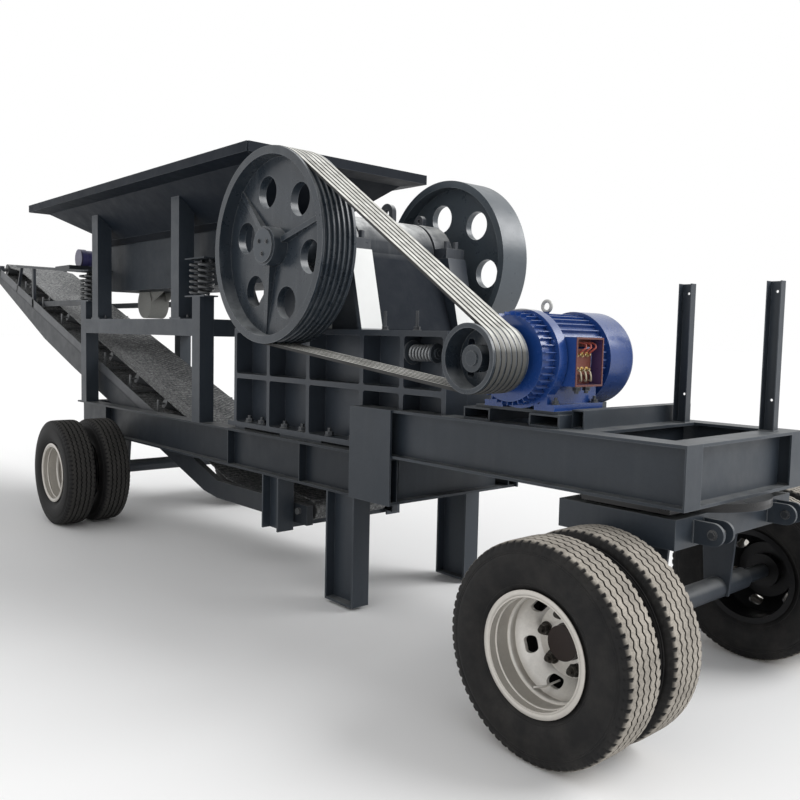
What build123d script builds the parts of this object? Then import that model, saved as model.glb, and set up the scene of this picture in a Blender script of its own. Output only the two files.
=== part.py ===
"""Jaw crushing plant on a two-axle trailer: hopper, feeder, crusher, motor and belt conveyor.

Lengths are millimetres. X runs towards the steering bogie, Y across, Z up from the ground.
"Right" is the -Y side, where the belt drive is, and "left" is the +Y side.
"""

import math
import os

from build123d import *

# Chassis
front_x = 4255.5  # front face of the chassis, from the middle of the plant's length
beam_height = 250.0
beam_width = 116.0
beam_web = 8.0
beam_flange = 13.0
chassis_half_width = 500.0
lower_beam_bottom = 640.0
lower_beam_back = 5897.0
lower_beam_front = 1660.0
upper_beam_back = 1960.0
splice_back = 1978.0
splice_front = 1644.0
splice_thickness = 12.0
stiffener_thickness = 10.0
stiffener_backs = (1830.0, 2480.0, 3300.0, 5300.0)

middle_cross_back = 520.0
feed_cross_back = 3500.0
shelf_back = 614.0
shelf_front = 550.0
shelf_height = 80.0

# Legs and hangers under the lower beams
leg_front = 1945.0
leg_bottom = 20.0
hanger_front = 2684.0
hanger_bottom = 305.0
hanger_web_height = 180.0

# Side posts on the left upper beam
post_width = 65.0
post_depth = 42.0
post_wall = 5.0
post_height = 655.0
post_y = 311.0
post_backs = (535.0, 116.0)
post_hole_radius = 6.0
post_hole_inset = 45.0

# Wheels
tyre_radius = 405.0
tyre_width = 218.0
rim_radius = 228.0
rim_width = 166.0
rim_wall = 8.0
dual_spacing = 270.0
outer_wheel_y = 942.0
front_axle_back = 259.0
kingpin_radius = 45.0
kingpin_clearance = 0.06
rear_axle_back = 5015.0
hand_hole_radius = 17.0
hand_hole_length = 66.0
hand_hole_count = 6
hand_hole_start = 18.0
hand_hole_circle = 162.0
hub_radius = 82.0
hub_flange_radius = 135.0
stud_circle = 111.0
hub_cap_radius = 66.0
axle_radius = 50.0
spindle_radius = 35.0
spindle_end = 842.0
spindle_end_gap = 5.0
bearing_clearance = 0.06
hanger_y = 280.0
hanger_plate = 14.0
hanger_top_half = 95.0
hanger_foot_half = 58.0

# Steering bogie under the front
bogie_gap = 36.0
bogie_height = 118.0
bogie_plate = 12.0
bogie_front = 40.0
bogie_length = 540.0
bogie_half_width = 486.0
turntable_radius = 330.0
turntable_thickness = 17.9
turntable_clearance = 0.2
lug_radius = 45.0
lug_reach = 125.0
lug_thickness = 14.0
lug_gap = 62.0
lug_y = 312.0
lug_bore_radius = 14.0

# Crusher body
body_front = 1309.0
body_back = 3293.0
body_half_width = 450.0
mouth_half_width = 300.0
wall_thickness = 30.0
rib_thickness = 30.0
base_flange_bottom = 905.0
base_flange_reach = 80.0
mid_rib_bottom = 1223.0
top_flange_top = 1550.0
pocket_corner = 16.0
rib_backs = (1309.0, 1621.0, 1948.0, 2446.0, 2870.0, 3263.0)
pad_spans = ((3290.0, 3170.0), (2760.0, 2330.0))
pedestal_foot_front = 1966.0
pedestal_top_front = 2075.0
pedestal_top_back = 2720.0
feed_top_back = 3150.0
feed_top = 1825.0
end_wall_thickness = 40.0
end_wall_gap = 0.2

# Shaft line
shaft_back = 2407.0
shaft_z = 1998.0
journal_radius = 90.0
journal_clearance = 0.05
cap_radius = 228.0
cap_lug_reach = 318.0
cap_lug_thickness = 62.0
cap_bolt_radius = 17.0
cap_bolt_height = 45.0
cap_bolt_inset = 36.0
eccentric_throw = 12.0
eccentric_radius = 105.0
barrel_radius = 225.0
barrel_bore = 126.0
pitman_half_width = 285.0
tension_z = 1437.0
tension_length = 205.0
toggle_seat_front = 1669.0
toggle_seat_back = 2050.0
toggle_z = 1335.0
toggle_thickness = 60.0
toggle_half_width = 250.0
jaw_plate_thickness = 70.0
swing_plate_thickness = 55.0
pitman_outline = (
    (shaft_back - barrel_radius, shaft_z),
    (2013.0, 1559.0),
    (2013.0, 1425.0),
    (2050.0, 1415.0),
    (2050.0, 1255.0),
    (2120.0, 1215.0),
    (2900.0, 935.0),
    (3050.0, 975.0),
    (2610.0, 1875.0),
    (shaft_back + barrel_radius, shaft_z),
)
cheek_low_back = 2880.0
cheek_high_back = 2640.0
barrel_eye_radius = 60.0
barrel_eye_bore = 24.0
barrel_eye_thickness = 30.0
barrel_eye_y = 100.0
cap_eye_radius = 34.0

# Flywheels
wheel_radius = 537.0
wheel_inner_y = 573.0
wheel_rim_width = 220.0
wheel_rim_wall = 44.0
wheel_web_recess = 82.0
wheel_web = 48.0
wheel_hub_radius = 106.0
wheel_hub_proud = 4.0
wheel_hole_radius = 90.0
wheel_hole_circle = 325.0
wheel_hole_count = 6
wheel_hole_start = 47.7
wheel_rib_start = 17.7
wheel_rib_thickness = 30.0
wheel_rib_recess = 40.0
wheel_rib_foot = 6.0
hub_bore_radius = 80.0
end_disc_radius = 93.0
end_disc_thickness = 9.0

# Belts and grooves
belt_count = 6
belt_pitch = 33.0
belt_top_width = 22.0
belt_bottom_width = 13.0
belt_height = 15.0
belt_proud = 2.0
groove_clearance = 0.6

# Motor
motor_back = 849.0
motor_z = 1432.0
pulley_radius = 149.0
pulley_wall = 21.0
pulley_web_recess = 95.0
pulley_web = 30.0
pulley_hub_radius = 58.0
pulley_hole_radius = 20.0
pulley_hole_circle = 92.0
motor_shaft_radius = 32.5
motor_shaft_depth = 60.0
motor_radius = 205.0
motor_fin_height = 16.0
motor_fin_thickness = 5.0
bell_front_y = -530.0
bell_back_y = -455.0
frame_back_y = -92.0
cover_back_y = 125.0
cover_front_y = -80.0
cover_radius = 219.0
cover_gap_radius = 188.0
eye_bolt_y = -276.0
eye_bolt_radius = 24.0
eye_bolt_wire = 8.0
base_channel_height = 57.0
base_channel_width = 165.0
base_channel_wall = 8.0
base_channel_backs = (1177.0, 781.0)
base_plate_thickness = 14.0

# Hopper
rim_back = 6463.0
rim_front = 2724.0
rim_half_width = 709.0
rim_top = 2628.0
rim_band = 50.0
hopper_plate = 10.0
kink_drop = 15.0
kink_inset = 126.0
throat_half_width = 300.0
throat_z = 2305.0
throat_back = 5700.0
throat_front = 3250.0
hopper_leg_size = 120.0
hopper_leg_backs = (5435.0, 3983.0)
leg_wall = 8.0

# Feeder and its frame
column_size = 110.0
column_wall = 8.0
column_fronts = (3673.0, 5700.0)
column_top = 1761.0
side_rail_top = 1609.0
side_rail_height = 120.0
trough_bottom = 1855.0
trough_top = 2265.0
trough_plate = 10.0
trough_back = 5700.0
trough_front = 3090.0
spring_plate = 10.0
spring_plate_back = 165.0
spring_plate_front = 110.0
spring_height = 240.0
spring_outer = 42.0
spring_wire = 9.0
spring_turns = 6
exciter_radius = 131.0
exciter_half_length = 83.0
exciter_back = 5443.0
exciter_drop = 95.0
gusset_thickness = 14.0
gusset_reach = 330.0

# Small motor behind the feeder
drive_back = 6545.0
drive_radius = 88.0
drive_height = 80.0
drive_y0 = -240.0
drive_y1 = 60.0
drive_cap = 60.0
drive_platform_half = 180.0
drive_platform = 12.0

# Conveyor
belt_half_width = 285.0
belt_flat_half = 100.0
belt_thickness = 10.0
belt_wing_rise = 60.0
belt_edge_back = 4238.0
belt_edge_z = 863.0
belt_slope = 0.3327
head_back = 8550.0
head_flat_back = 8400.0
trough_run = 300.0
drum_radius = 55.0
knee_back = 3650.0
tail_flat_back = 2900.0
tail_back = 2640.0
tail_drum_z = 430.0
drum_shaft_radius = 20.0
stringer_drop = 195.0
stringer_y = 325.0
stringer_width = 45.0
stringer_wall = 8.0
stringer_end = 8620.0
stringer_belly_back = 7104.0
stringer_belly_front = 6345.0
stringer_belly = 205.0
stringer_end_depth = 80.0
stringer_heel_back = 3842.0
stringer_heel_z = 377.0
stringer_tail_front = 2560.0
stringer_tail_bottom = 351.0
tie_height = 38.0
cross_bar = 50.0
cross_bar_drop = 105.0
cross_bar_backs = (7950.0, 6900.0, 5600.0, 4250.0)
tail_bar_height = 30.0
tail_bar_backs = (3400.0, 2850.0)
bearing_block = 90.0
bearing_block_height = 40.0
idler_radius = 38.0
idler_backs = (7780.0, 7260.0, 6740.0, 6220.0, 5700.0, 5180.0, 4660.0, 4140.0)
idler_gap = 0.5
idler_bracket = 10.0
idler_plate_top = 156.0
idler_plate_bottom = 176.0
idler_plate_half = 15.0
idler_foot = 20.0
wing_roller_drop = 6.0
return_idler_backs = (6650.0, 4600.0)

# Guard frame over the conveyor's upper end
guard_bar = 50.0
guard_bar_width = 33.0
guard_bar_back = 7788.0
guard_bar_front = 5700.0
guard_bar_top = 1793.0
top_bar_back = 7871.0
top_bar_back_z = 2184.0
top_bar_front = 5985.0
top_bar_front_z = 2050.0
top_bar_depth = 25.0
top_bar_width = 25.0
upright_back = 7448.0
upright_width = 45.0
upright_thickness = 28.0
brace_top_back = 7810.0
brace_foot_back = 7953.0
brace_width = 22.0


def block(x0, x1, y0, y1, z0, z1):
    """A plain rectangular piece between six faces."""
    return Pos((x0 + x1) / 2, (y0 + y1) / 2, (z0 + z1) / 2) * Box(abs(x1 - x0), abs(y1 - y0), abs(z1 - z0))


def back(distance):
    """X of a point that lies this far behind the chassis front face."""
    return front_x - distance


def mirrored(piece):
    """The same piece on the other side of the plant."""
    return mirror(piece, about=Plane.XZ)


def cylinder_y(x, z, radius, y0, y1):
    """A round bar lying across the plant."""
    return Pos(x, (y0 + y1) / 2, z) * Rot(90, 0, 0) * Cylinder(radius, abs(y1 - y0))


def cylinder_z(x, y, radius, z0, z1):
    """An upright round bar."""
    return Pos(x, y, (z0 + z1) / 2) * Cylinder(radius, abs(z1 - z0))


def side_profile(points, y0, y1):
    """A plate cut to an outline of (x, z) points, standing lengthwise between y0 and y1."""
    wire = Polyline(*[(x, z) for x, z in points], close=True)
    face = Plane.XZ * make_face(wire)
    return Pos(0, max(y0, y1), 0) * extrude(face, amount=abs(y1 - y0))


def i_section(height, width, web, flange):
    """Rolled I section, its web along local Y."""
    web_part = Rectangle(web, height)
    top = Pos(0, (height - flange) / 2) * Rectangle(width, flange)
    bottom = Pos(0, -(height - flange) / 2) * Rectangle(width, flange)
    return web_part + top + bottom


def beam_lengthwise(x0, x1, y, z0, height=beam_height, width=beam_width):
    """An I beam along the plant, its lower face at z0."""
    plane = Plane(origin=(x0, y, z0 + height / 2), x_dir=(0, 1, 0), z_dir=(1, 0, 0))
    return extrude(plane * i_section(height, width, beam_web, beam_flange), amount=x1 - x0)


def beam_across(x, y0, y1, z0, height=beam_height, width=beam_width):
    """An I beam across the plant, its lower face at z0."""
    plane = Plane(origin=(x, y0, z0 + height / 2), x_dir=(-1, 0, 0), z_dir=(0, 1, 0))
    return extrude(plane * i_section(height, width, beam_web, beam_flange), amount=y1 - y0)


def column(x, y, z0, z1, height=beam_height, width=beam_width):
    """An upright I section whose web lies along the plant."""
    plane = Plane(origin=(x, y, z0), x_dir=(0, 1, 0), z_dir=(0, 0, 1))
    return extrude(plane * i_section(height, width, beam_web, beam_flange), amount=z1 - z0)


def tube_upright(x0, x1, y0, y1, z0, z1, wall):
    """An upright square tube, open at both ends."""
    inner = block(x0 + wall, x1 - wall, y0 + wall, y1 - wall, z0 - 1, z1 + 1)
    return block(x0, x1, y0, y1, z0, z1) - inner


beam_y = chassis_half_width - beam_width / 2
lower_beam_top = lower_beam_bottom + beam_height
upper_beam_top = lower_beam_top + beam_height
web_side = beam_y - beam_web / 2
web_outer = beam_y + beam_web / 2


# Chassis
def make_lower_beams():
    beam = beam_lengthwise(back(lower_beam_back), back(lower_beam_front), -beam_y, lower_beam_bottom)
    z0 = lower_beam_bottom + beam_flange
    z1 = lower_beam_top - beam_flange
    for distance in stiffener_backs:
        beam += block(
            back(distance), back(distance) + stiffener_thickness, -chassis_half_width + 4, -web_outer, z0, z1
        )
    return Compound([beam, mirrored(beam)])


def make_upper_beams():
    beam = beam_lengthwise(back(upper_beam_back), front_x, -beam_y, lower_beam_top)
    z0 = lower_beam_top + beam_flange
    z1 = upper_beam_top - beam_flange
    end_plate = block(front_x - beam_web, front_x, -chassis_half_width, -chassis_half_width + beam_width, z0, z1)
    beam += end_plate
    return Compound([beam, mirrored(beam)])


def make_cross_beams():
    """The beams across the chassis and the low box in front of the motor."""
    inner = chassis_half_width - beam_width
    pieces = [
        beam_across(front_x - beam_width / 2, -inner, inner, lower_beam_top),
        beam_across(back(middle_cross_back), -inner, inner, lower_beam_top),
        beam_across(back(lower_beam_front) - beam_width / 2, -inner, inner, lower_beam_bottom),
        beam_across(back(lower_beam_back) + beam_width / 2, -inner, inner, lower_beam_bottom),
        beam_across(back(feed_cross_back), -inner, inner, lower_beam_top - 120, 120),
    ]
    x0, x1 = back(shelf_back), back(shelf_front)
    z0, z1 = upper_beam_top, upper_beam_top + shelf_height
    wall = 6.0
    shelf = block(x0, x1, -inner + 8, chassis_half_width, z0, z1)
    shelf -= block(x0 + wall, x1 - wall, -inner + 7, chassis_half_width + 1, z0 + wall, z1 - wall)
    pieces.append(shelf)
    return Compound(pieces)


def make_splice_plates():
    plate = block(
        back(splice_back),
        back(splice_front),
        -chassis_half_width - splice_thickness,
        -chassis_half_width,
        lower_beam_bottom,
        upper_beam_top,
    )
    return Compound([plate, mirrored(plate)])


def make_support_legs():
    leg = column(back(leg_front) - beam_height / 2, -beam_y, leg_bottom, lower_beam_bottom)
    foot = block(
        back(leg_front) - beam_height,
        back(leg_front),
        -chassis_half_width,
        -chassis_half_width + beam_width,
        leg_bottom,
        leg_bottom + 12,
    )
    leg += foot
    return Compound([leg, mirrored(leg)])


def make_tail_hanger():
    x = back(hanger_front) - hanger_web_height / 2
    leg = column(x, -beam_y, hanger_bottom, lower_beam_bottom, hanger_web_height)
    tie_top = stringer_tail_bottom - 0.3
    tie = block(x - 50, x + 50, -web_side, web_side, tie_top - tie_height, tie_top)
    return leg + mirrored(leg) + tie


def make_front_posts():
    """Two upright channels near the left beam, open side to the right."""
    posts = []
    z0 = upper_beam_top
    z1 = z0 + post_height
    y0 = post_y
    y1 = post_y + post_depth
    for distance in post_backs:
        x0 = back(distance)
        x1 = x0 + post_width
        post = block(x0, x1, y0, y1, z0, z1)
        post -= block(x0 + post_wall, x1 - post_wall, y0 - 1, y1 - post_wall, z0 - 1, z1 + 1)
        for z in (z0 + post_hole_inset * 3, z1 - post_hole_inset):
            post -= cylinder_y((x0 + x1) / 2, z, post_hole_radius, y0, y1 + 1)
        posts.append(post)
    return Compound(posts)


def make_turntable_plate():
    """The plate under the upper beams that turns on the bogie's disc, with its hole for the kingpin."""
    x = back(front_axle_back)
    top = lower_beam_top
    bottom = top - bogie_gap + turntable_thickness
    half = chassis_half_width
    plate = block(x - 200, x + 200, -half, half, bottom, top)
    plate += cylinder_z(x, 0, turntable_radius, bottom, top)
    plate -= cylinder_z(x, 0, kingpin_radius + kingpin_clearance, bottom - 1, top + 1)
    return plate


# Crusher body
def pedestal_front_at(z):
    """X of the sloping front edge of the bearing pedestal at a height."""
    share = (z - top_flange_top) / (shaft_z - top_flange_top)
    return back(pedestal_foot_front + share * (pedestal_top_front - pedestal_foot_front))


def pedestal_back_at(z):
    """X of the sloping back edge of the bearing pedestal at a height."""
    share = (z - top_flange_top) / (shaft_z - top_flange_top)
    return back(feed_top_back + share * (pedestal_top_back - feed_top_back))


def rounded_pocket(x0, x1, z0, z1, y0, y1):
    """A sunk cell between ribs, its upright corners rounded."""
    cell = block(x0, x1, y0, y1, z0, z1)
    return fillet(cell.edges().filter_by(Axis.Y), pocket_corner)


def make_side_wall():
    base_top = base_flange_bottom + rib_thickness
    outline = [
        (back(body_back), base_flange_bottom),
        (back(body_front), base_flange_bottom),
        (back(body_front), top_flange_top),
        (pedestal_front_at(top_flange_top), top_flange_top),
        (pedestal_front_at(shaft_z), shaft_z),
        (pedestal_back_at(shaft_z), shaft_z),
        (pedestal_back_at(top_flange_top), top_flange_top),
        (back(body_back), top_flange_top),
    ]
    wall = side_profile(outline, -body_half_width, -mouth_half_width)
    pocket_floor = -mouth_half_width - wall_thickness
    rows = (
        (base_top, mid_rib_bottom),
        (mid_rib_bottom + rib_thickness, top_flange_top - rib_thickness),
    )
    for row_bottom, row_top in rows:
        for right_back, left_back in zip(rib_backs, rib_backs[1:]):
            x0 = back(left_back)
            x1 = back(right_back) - rib_thickness
            wall -= rounded_pocket(x0, x1, row_bottom, row_top, -body_half_width - 1, pocket_floor)
    pocket_z0 = top_flange_top
    pocket_z1 = shaft_z - rib_thickness * 2
    middle_x = back(shaft_back)
    front_cell = [
        (middle_x + rib_thickness / 2, pocket_z0),
        (pedestal_front_at(pocket_z0) - rib_thickness, pocket_z0),
        (pedestal_front_at(pocket_z1) - rib_thickness, pocket_z1),
        (middle_x + rib_thickness / 2, pocket_z1),
    ]
    back_cell = [
        (middle_x - rib_thickness / 2, pocket_z0),
        (middle_x - rib_thickness / 2, pocket_z1),
        (pedestal_back_at(pocket_z1) + rib_thickness, pocket_z1),
        (pedestal_back_at(pocket_z0) + rib_thickness, pocket_z0),
    ]
    shift = body_half_width + 1
    seat = cylinder_y(middle_x, shaft_z, journal_radius * 2, -shift, -mouth_half_width + 1)
    for cell in (front_cell, back_cell):
        wall -= side_profile(cell, -shift, pocket_floor) - seat
    flange_back = back(body_back) - base_flange_reach
    wall += block(
        flange_back, back(body_back), -body_half_width, -mouth_half_width, base_flange_bottom, base_top
    )
    bore = journal_radius + journal_clearance
    wall -= cylinder_y(middle_x, shaft_z, bore, -shift, -mouth_half_width + 1)
    wall -= block(
        back(splice_back) - 2,
        back(body_front) + 1,
        -shift,
        -chassis_half_width + beam_width + 2,
        base_flange_bottom - 1,
        upper_beam_top,
    )
    for pad_back, pad_front in pad_spans:
        wall += block(
            back(pad_back), back(pad_front), -body_half_width + 10, -beam_y, lower_beam_top, base_flange_bottom
        )
    return wall


def fixed_jaw_x(z):
    """X of the crushing-side face of the back wall at a height."""
    share = (z - base_flange_bottom) / (feed_top - base_flange_bottom)
    lean = share * (body_back - feed_top_back)
    return back(body_back) + end_wall_thickness + lean


def make_back_wall():
    """The end under the feeder: it carries the fixed jaw."""
    half = mouth_half_width - end_wall_gap
    x0 = back(body_back)
    z0 = base_flange_bottom
    points = [
        (fixed_jaw_x(z0) - end_wall_thickness, z0),
        (fixed_jaw_x(z0), z0),
        (fixed_jaw_x(feed_top), feed_top),
        (fixed_jaw_x(feed_top) - end_wall_thickness, feed_top),
    ]
    wall = side_profile(points, -half, half)
    for z in (base_flange_bottom, mid_rib_bottom, top_flange_top - rib_thickness):
        wall += block(x0 - 30, fixed_jaw_x(z) - 10, -half, half, z, z + rib_thickness)
    return wall


def make_toggle_block():
    """The end by the motor: the adjusting block that the toggle plate pushes against."""
    half = mouth_half_width - end_wall_gap
    x1 = back(body_front)
    wall = block(x1 - end_wall_thickness, x1, -half, half, base_flange_bottom, top_flange_top)
    opening = block(x1 - end_wall_thickness - 1, x1 + 1, -180, 180, base_flange_bottom + 90, mid_rib_bottom - 20)
    wall -= fillet(opening.edges().filter_by(Axis.X), pocket_corner)
    seat_x = back(toggle_seat_front)
    wall += block(seat_x, x1 - end_wall_thickness, -half, half, toggle_z - 90, toggle_z + 90)
    return wall


def make_jaw_plates():
    """The fixed jaw plate and the two cheek plates beside it."""
    half = mouth_half_width - 26
    z0 = base_flange_bottom + 60
    z1 = feed_top - 20
    thick = jaw_plate_thickness
    plate = side_profile(
        [(fixed_jaw_x(z0), z0), (fixed_jaw_x(z0) + thick, z0), (fixed_jaw_x(z1) + thick, z1), (fixed_jaw_x(z1), z1)],
        -half,
        half,
    )
    cheek_z = mid_rib_bottom + 52
    cheek = side_profile(
        [
            (fixed_jaw_x(cheek_z) + thick + 5, cheek_z),
            (back(cheek_low_back), cheek_z),
            (back(cheek_high_back), z1),
            (fixed_jaw_x(z1) + thick + 5, z1),
        ],
        -mouth_half_width,
        -pitman_half_width - 3,
    )
    return Compound([plate, cheek, mirrored(cheek)])


def make_swing_jaw():
    """The pitman: bearing barrel on the eccentric shaft and the hanging jaw body below it."""
    x = back(shaft_back)
    half = pitman_half_width
    jaw = cylinder_y(x, shaft_z, barrel_radius, -half, half)
    jaw += side_profile([(back(distance), z) for distance, z in pitman_outline], -half, half)
    jaw += lifting_eye(
        x, shaft_z + barrel_radius, barrel_eye_y, barrel_eye_radius, barrel_eye_bore, barrel_eye_thickness
    )
    jaw -= cylinder_y(x, shaft_z, barrel_bore, -half - 1, half + 1)
    return jaw


def make_swing_jaw_plate():
    low = pitman_outline[-3]
    high = pitman_outline[-2]
    half = pitman_half_width - 5
    run = math.hypot(high[0] - low[0], high[1] - low[1])
    along = ((high[0] - low[0]) / run, (high[1] - low[1]) / run)
    out = (along[1], -along[0])
    start = (low[0] + along[0] * 15, low[1] + along[1] * 15)
    end = (high[0] - along[0] * 40, high[1] - along[1] * 40)
    thick = swing_plate_thickness
    points = [
        start,
        end,
        (end[0] + out[0] * thick, end[1] + out[1] * thick),
        (start[0] + out[0] * thick, start[1] + out[1] * thick),
    ]
    return side_profile([(back(distance), z) for distance, z in points], -half, half)


def lifting_eye(x, z, y, radius, bore, thickness):
    """A round plate with a hole, standing lengthwise on a surface at this height."""
    y0 = y - thickness / 2
    y1 = y + thickness / 2
    centre = z + radius * 0.8
    eye = cylinder_y(x, centre, radius, y0, y1)
    eye += block(x - radius, x + radius, y0, y1, z - radius * 0.6, centre)
    return eye - cylinder_y(x, centre, bore, y0 - 1, y1 + 1)


# Shaft and flywheels
def make_eccentric_shaft():
    x = back(shaft_back)
    reach = wheel_inner_y + wheel_rim_width + wheel_hub_proud
    shaft = cylinder_y(x, shaft_z, hub_bore_radius, -reach, reach)
    shaft += cylinder_y(x, shaft_z, journal_radius, -body_half_width - 40, body_half_width + 40)
    shaft += cylinder_y(x + eccentric_throw, shaft_z, eccentric_radius, -pitman_half_width, pitman_half_width)
    for y0, y1 in ((-reach - end_disc_thickness, -reach), (reach, reach + end_disc_thickness)):
        shaft += cylinder_y(x, shaft_z, end_disc_radius, y0, y1)
    return shaft


def wheel_blank():
    """Rim, web, hub and three ribs of a flywheel, outer face towards -Y, centred on its axis."""
    y_face = -(wheel_inner_y + wheel_rim_width)
    rim = cylinder_y(0, 0, wheel_radius, y_face, -wheel_inner_y)
    rim -= cylinder_y(0, 0, wheel_radius - wheel_rim_wall, y_face - 1, -wheel_inner_y + 1)
    web_y = y_face + wheel_web_recess
    wheel = rim + cylinder_y(0, 0, wheel_radius - wheel_rim_wall + 1, web_y, web_y + wheel_web)
    hub_face = y_face - wheel_hub_proud
    wheel += cylinder_y(0, 0, wheel_hub_radius, hub_face, -wheel_inner_y)
    for index in range(3):
        angle = wheel_rib_start + 120 * index
        start = wheel_hub_radius - 5
        end = wheel_radius - wheel_rim_wall + 1
        wedge = outline(
            [
                (start, web_y + 1),
                (start, y_face + wheel_rib_recess),
                (end, web_y - wheel_rib_foot),
                (end, web_y + 1),
            ]
        )
        rib = Pos(0, 0, -wheel_rib_thickness / 2) * extrude(wedge, amount=wheel_rib_thickness, dir=(0, 0, 1))
        wheel += Rot(0, -angle, 0) * rib
    for index in range(wheel_hole_count):
        angle = math.radians(wheel_hole_start + 360 / wheel_hole_count * index)
        hole_x = wheel_hole_circle * math.cos(angle)
        hole_z = wheel_hole_circle * math.sin(angle)
        wheel -= cylinder_y(hole_x, hole_z, wheel_hole_radius, y_face, -wheel_inner_y)
    wheel -= cylinder_y(0, 0, hub_bore_radius, hub_face - 1, -wheel_inner_y + 1)
    return wheel


def belt_centres():
    middle = wheel_inner_y + wheel_rim_width / 2
    first = -middle - belt_pitch * (belt_count - 1) / 2
    return [first + belt_pitch * index for index in range(belt_count)]


def groove_ring(radius, y):
    """The solid that cuts one V groove round a rim of this radius."""
    top = belt_top_width / 2 + groove_clearance + 1.3
    bottom = belt_bottom_width / 2 + groove_clearance
    depth = belt_height + groove_clearance - belt_proud + 2
    section = Polyline(
        (radius + 1, y - top),
        (radius + 1, y + top),
        (radius - depth, y + bottom),
        (radius - depth, y - bottom),
        close=True,
    )
    face = Plane.XY * make_face(section)
    return revolve(face, axis=Axis.Y, revolution_arc=360)


def make_grooved_sheave():
    wheel = wheel_blank()
    for y in belt_centres():
        wheel -= groove_ring(wheel_radius, y)
    return Pos(back(shaft_back), 0, shaft_z) * wheel


def make_plain_flywheel():
    return Pos(back(shaft_back), 0, shaft_z) * mirrored(wheel_blank())


def make_bearing_caps():
    """Upper bearing halves with bolted lugs and a lifting eye, one on each side wall."""
    x = back(shaft_back)
    y0 = -body_half_width
    y1 = -mouth_half_width
    middle = (y0 + y1) / 2
    cap = cylinder_y(x, shaft_z, cap_radius, y0, y1)
    cap += block(x - cap_lug_reach, x + cap_lug_reach, y0, y1, shaft_z, shaft_z + cap_lug_thickness)
    cap -= block(x - 2 * cap_radius, x + 2 * cap_radius, y0 - 1, y1 + 1, shaft_z - 2 * cap_radius, shaft_z)
    cap -= cylinder_y(x, shaft_z, journal_radius + journal_clearance, y0 - 1, y1 + 1)
    for side_x in (x - cap_lug_reach + cap_bolt_inset, x + cap_lug_reach - cap_bolt_inset):
        for y in (y0 + cap_bolt_inset, y1 - cap_bolt_inset):
            z = shaft_z + cap_lug_thickness
            cap += cylinder_z(side_x, y, cap_bolt_radius, z, z + cap_bolt_height)
    cap += lifting_eye(x, shaft_z + cap_radius, middle, cap_eye_radius, cap_eye_radius * 0.4, cap_eye_radius)
    return Compound([cap, mirrored(cap)])


def make_toggle_plate():
    z = toggle_z
    half = toggle_thickness / 2
    reach = toggle_half_width
    return block(back(toggle_seat_back), back(toggle_seat_front), -reach, reach, z - half, z + half)


def make_tension_rods():
    """Rods and spring washers in the front cells of both side walls."""
    z = tension_z
    y = (-body_half_width - mouth_half_width - wall_thickness) / 2 - 3
    start = back(rib_backs[1])
    end = start + tension_length
    rod = Pos((start + end) / 2, y, z) * Rot(0, 90, 0) * Cylinder(14, end - start)
    for x, radius, length in ((start + 5, 62, 10), (end - 22, 50, 12), (end - 10, 28, 12)):
        rod += Pos(x, y, z) * Rot(0, 90, 0) * Cylinder(radius, length)
    return Compound([rod, mirrored(rod)])


def make_tension_springs():
    z = tension_z
    y = (-body_half_width - mouth_half_width - wall_thickness) / 2 - 3
    start = back(rib_backs[1]) + 10
    end = back(rib_backs[1]) + tension_length - 28
    spring = Pos((start + end) / 2, y, z) * Rot(0, 90, 0) * (Cylinder(44, end - start) - Cylinder(30, end - start + 2))
    return Compound([spring, mirrored(spring)])


# Drive
def make_v_belts():
    big = (back(shaft_back), shaft_z)
    small = (back(motor_back), motor_z)
    span = math.hypot(small[0] - big[0], small[1] - big[1])
    heading = math.degrees(math.atan2(small[1] - big[1], small[0] - big[0]))
    outer_big = wheel_radius + belt_proud
    outer_small = pulley_radius + belt_proud
    spread = math.degrees(math.acos((outer_big - outer_small) / span))
    upper = heading + spread
    lower = heading - spread
    belts = []
    for y in belt_centres():
        loop = None
        for centre, radius, start, sweep_angle in (
            (big, outer_big, upper, 360 - 2 * spread),
            (small, outer_small, lower, 2 * spread),
        ):
            section = belt_section(radius, y)
            arc = revolve(section, axis=Axis.Y, revolution_arc=-sweep_angle)
            arc = Pos(centre[0], 0, centre[1]) * Rot(0, -start, 0) * arc
            loop = arc if loop is None else loop + arc
        for angle in (upper, lower):
            run = math.sqrt(span**2 - (outer_big - outer_small) ** 2)
            section = belt_section(outer_big, y)
            direction = 90 if angle == lower else -90
            strand = extrude(section, amount=run, dir=(0, 0, math.copysign(1, direction)))
            strand = Pos(big[0], 0, big[1]) * Rot(0, -angle, 0) * strand
            loop = loop + strand
        belts.append(loop)
    return Compound(belts)


def belt_section(radius, y):
    """V-belt section in the XY plane, its wide side at this radius."""
    top = belt_top_width / 2
    bottom = belt_bottom_width / 2
    section = Polyline(
        (radius, y - top),
        (radius, y + top),
        (radius - belt_height, y + bottom),
        (radius - belt_height, y - bottom),
        close=True,
    )
    return Plane.XY * make_face(section)


def make_motor_pulley():
    y_face = -(wheel_inner_y + wheel_rim_width)
    pulley = cylinder_y(0, 0, pulley_radius, y_face, -wheel_inner_y)
    bore = pulley_radius - pulley_wall
    pulley -= cylinder_y(0, 0, bore, y_face - 1, y_face + pulley_web_recess)
    pulley -= cylinder_y(0, 0, bore, y_face + pulley_web_recess + pulley_web, -wheel_inner_y + 1)
    for index in range(4):
        angle = math.radians(45 + 90 * index)
        hole_x = pulley_hole_circle * math.cos(angle)
        hole_z = pulley_hole_circle * math.sin(angle)
        pulley -= cylinder_y(hole_x, hole_z, pulley_hole_radius, y_face, -wheel_inner_y)
    pulley += cylinder_y(0, 0, pulley_hub_radius, y_face + 30, -wheel_inner_y + 10)
    for y in belt_centres():
        pulley -= groove_ring(pulley_radius, y)
    pulley += cylinder_y(0, 0, motor_shaft_radius, y_face + 24, bell_front_y + motor_shaft_depth)
    return Pos(back(motor_back), 0, motor_z) * pulley


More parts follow.
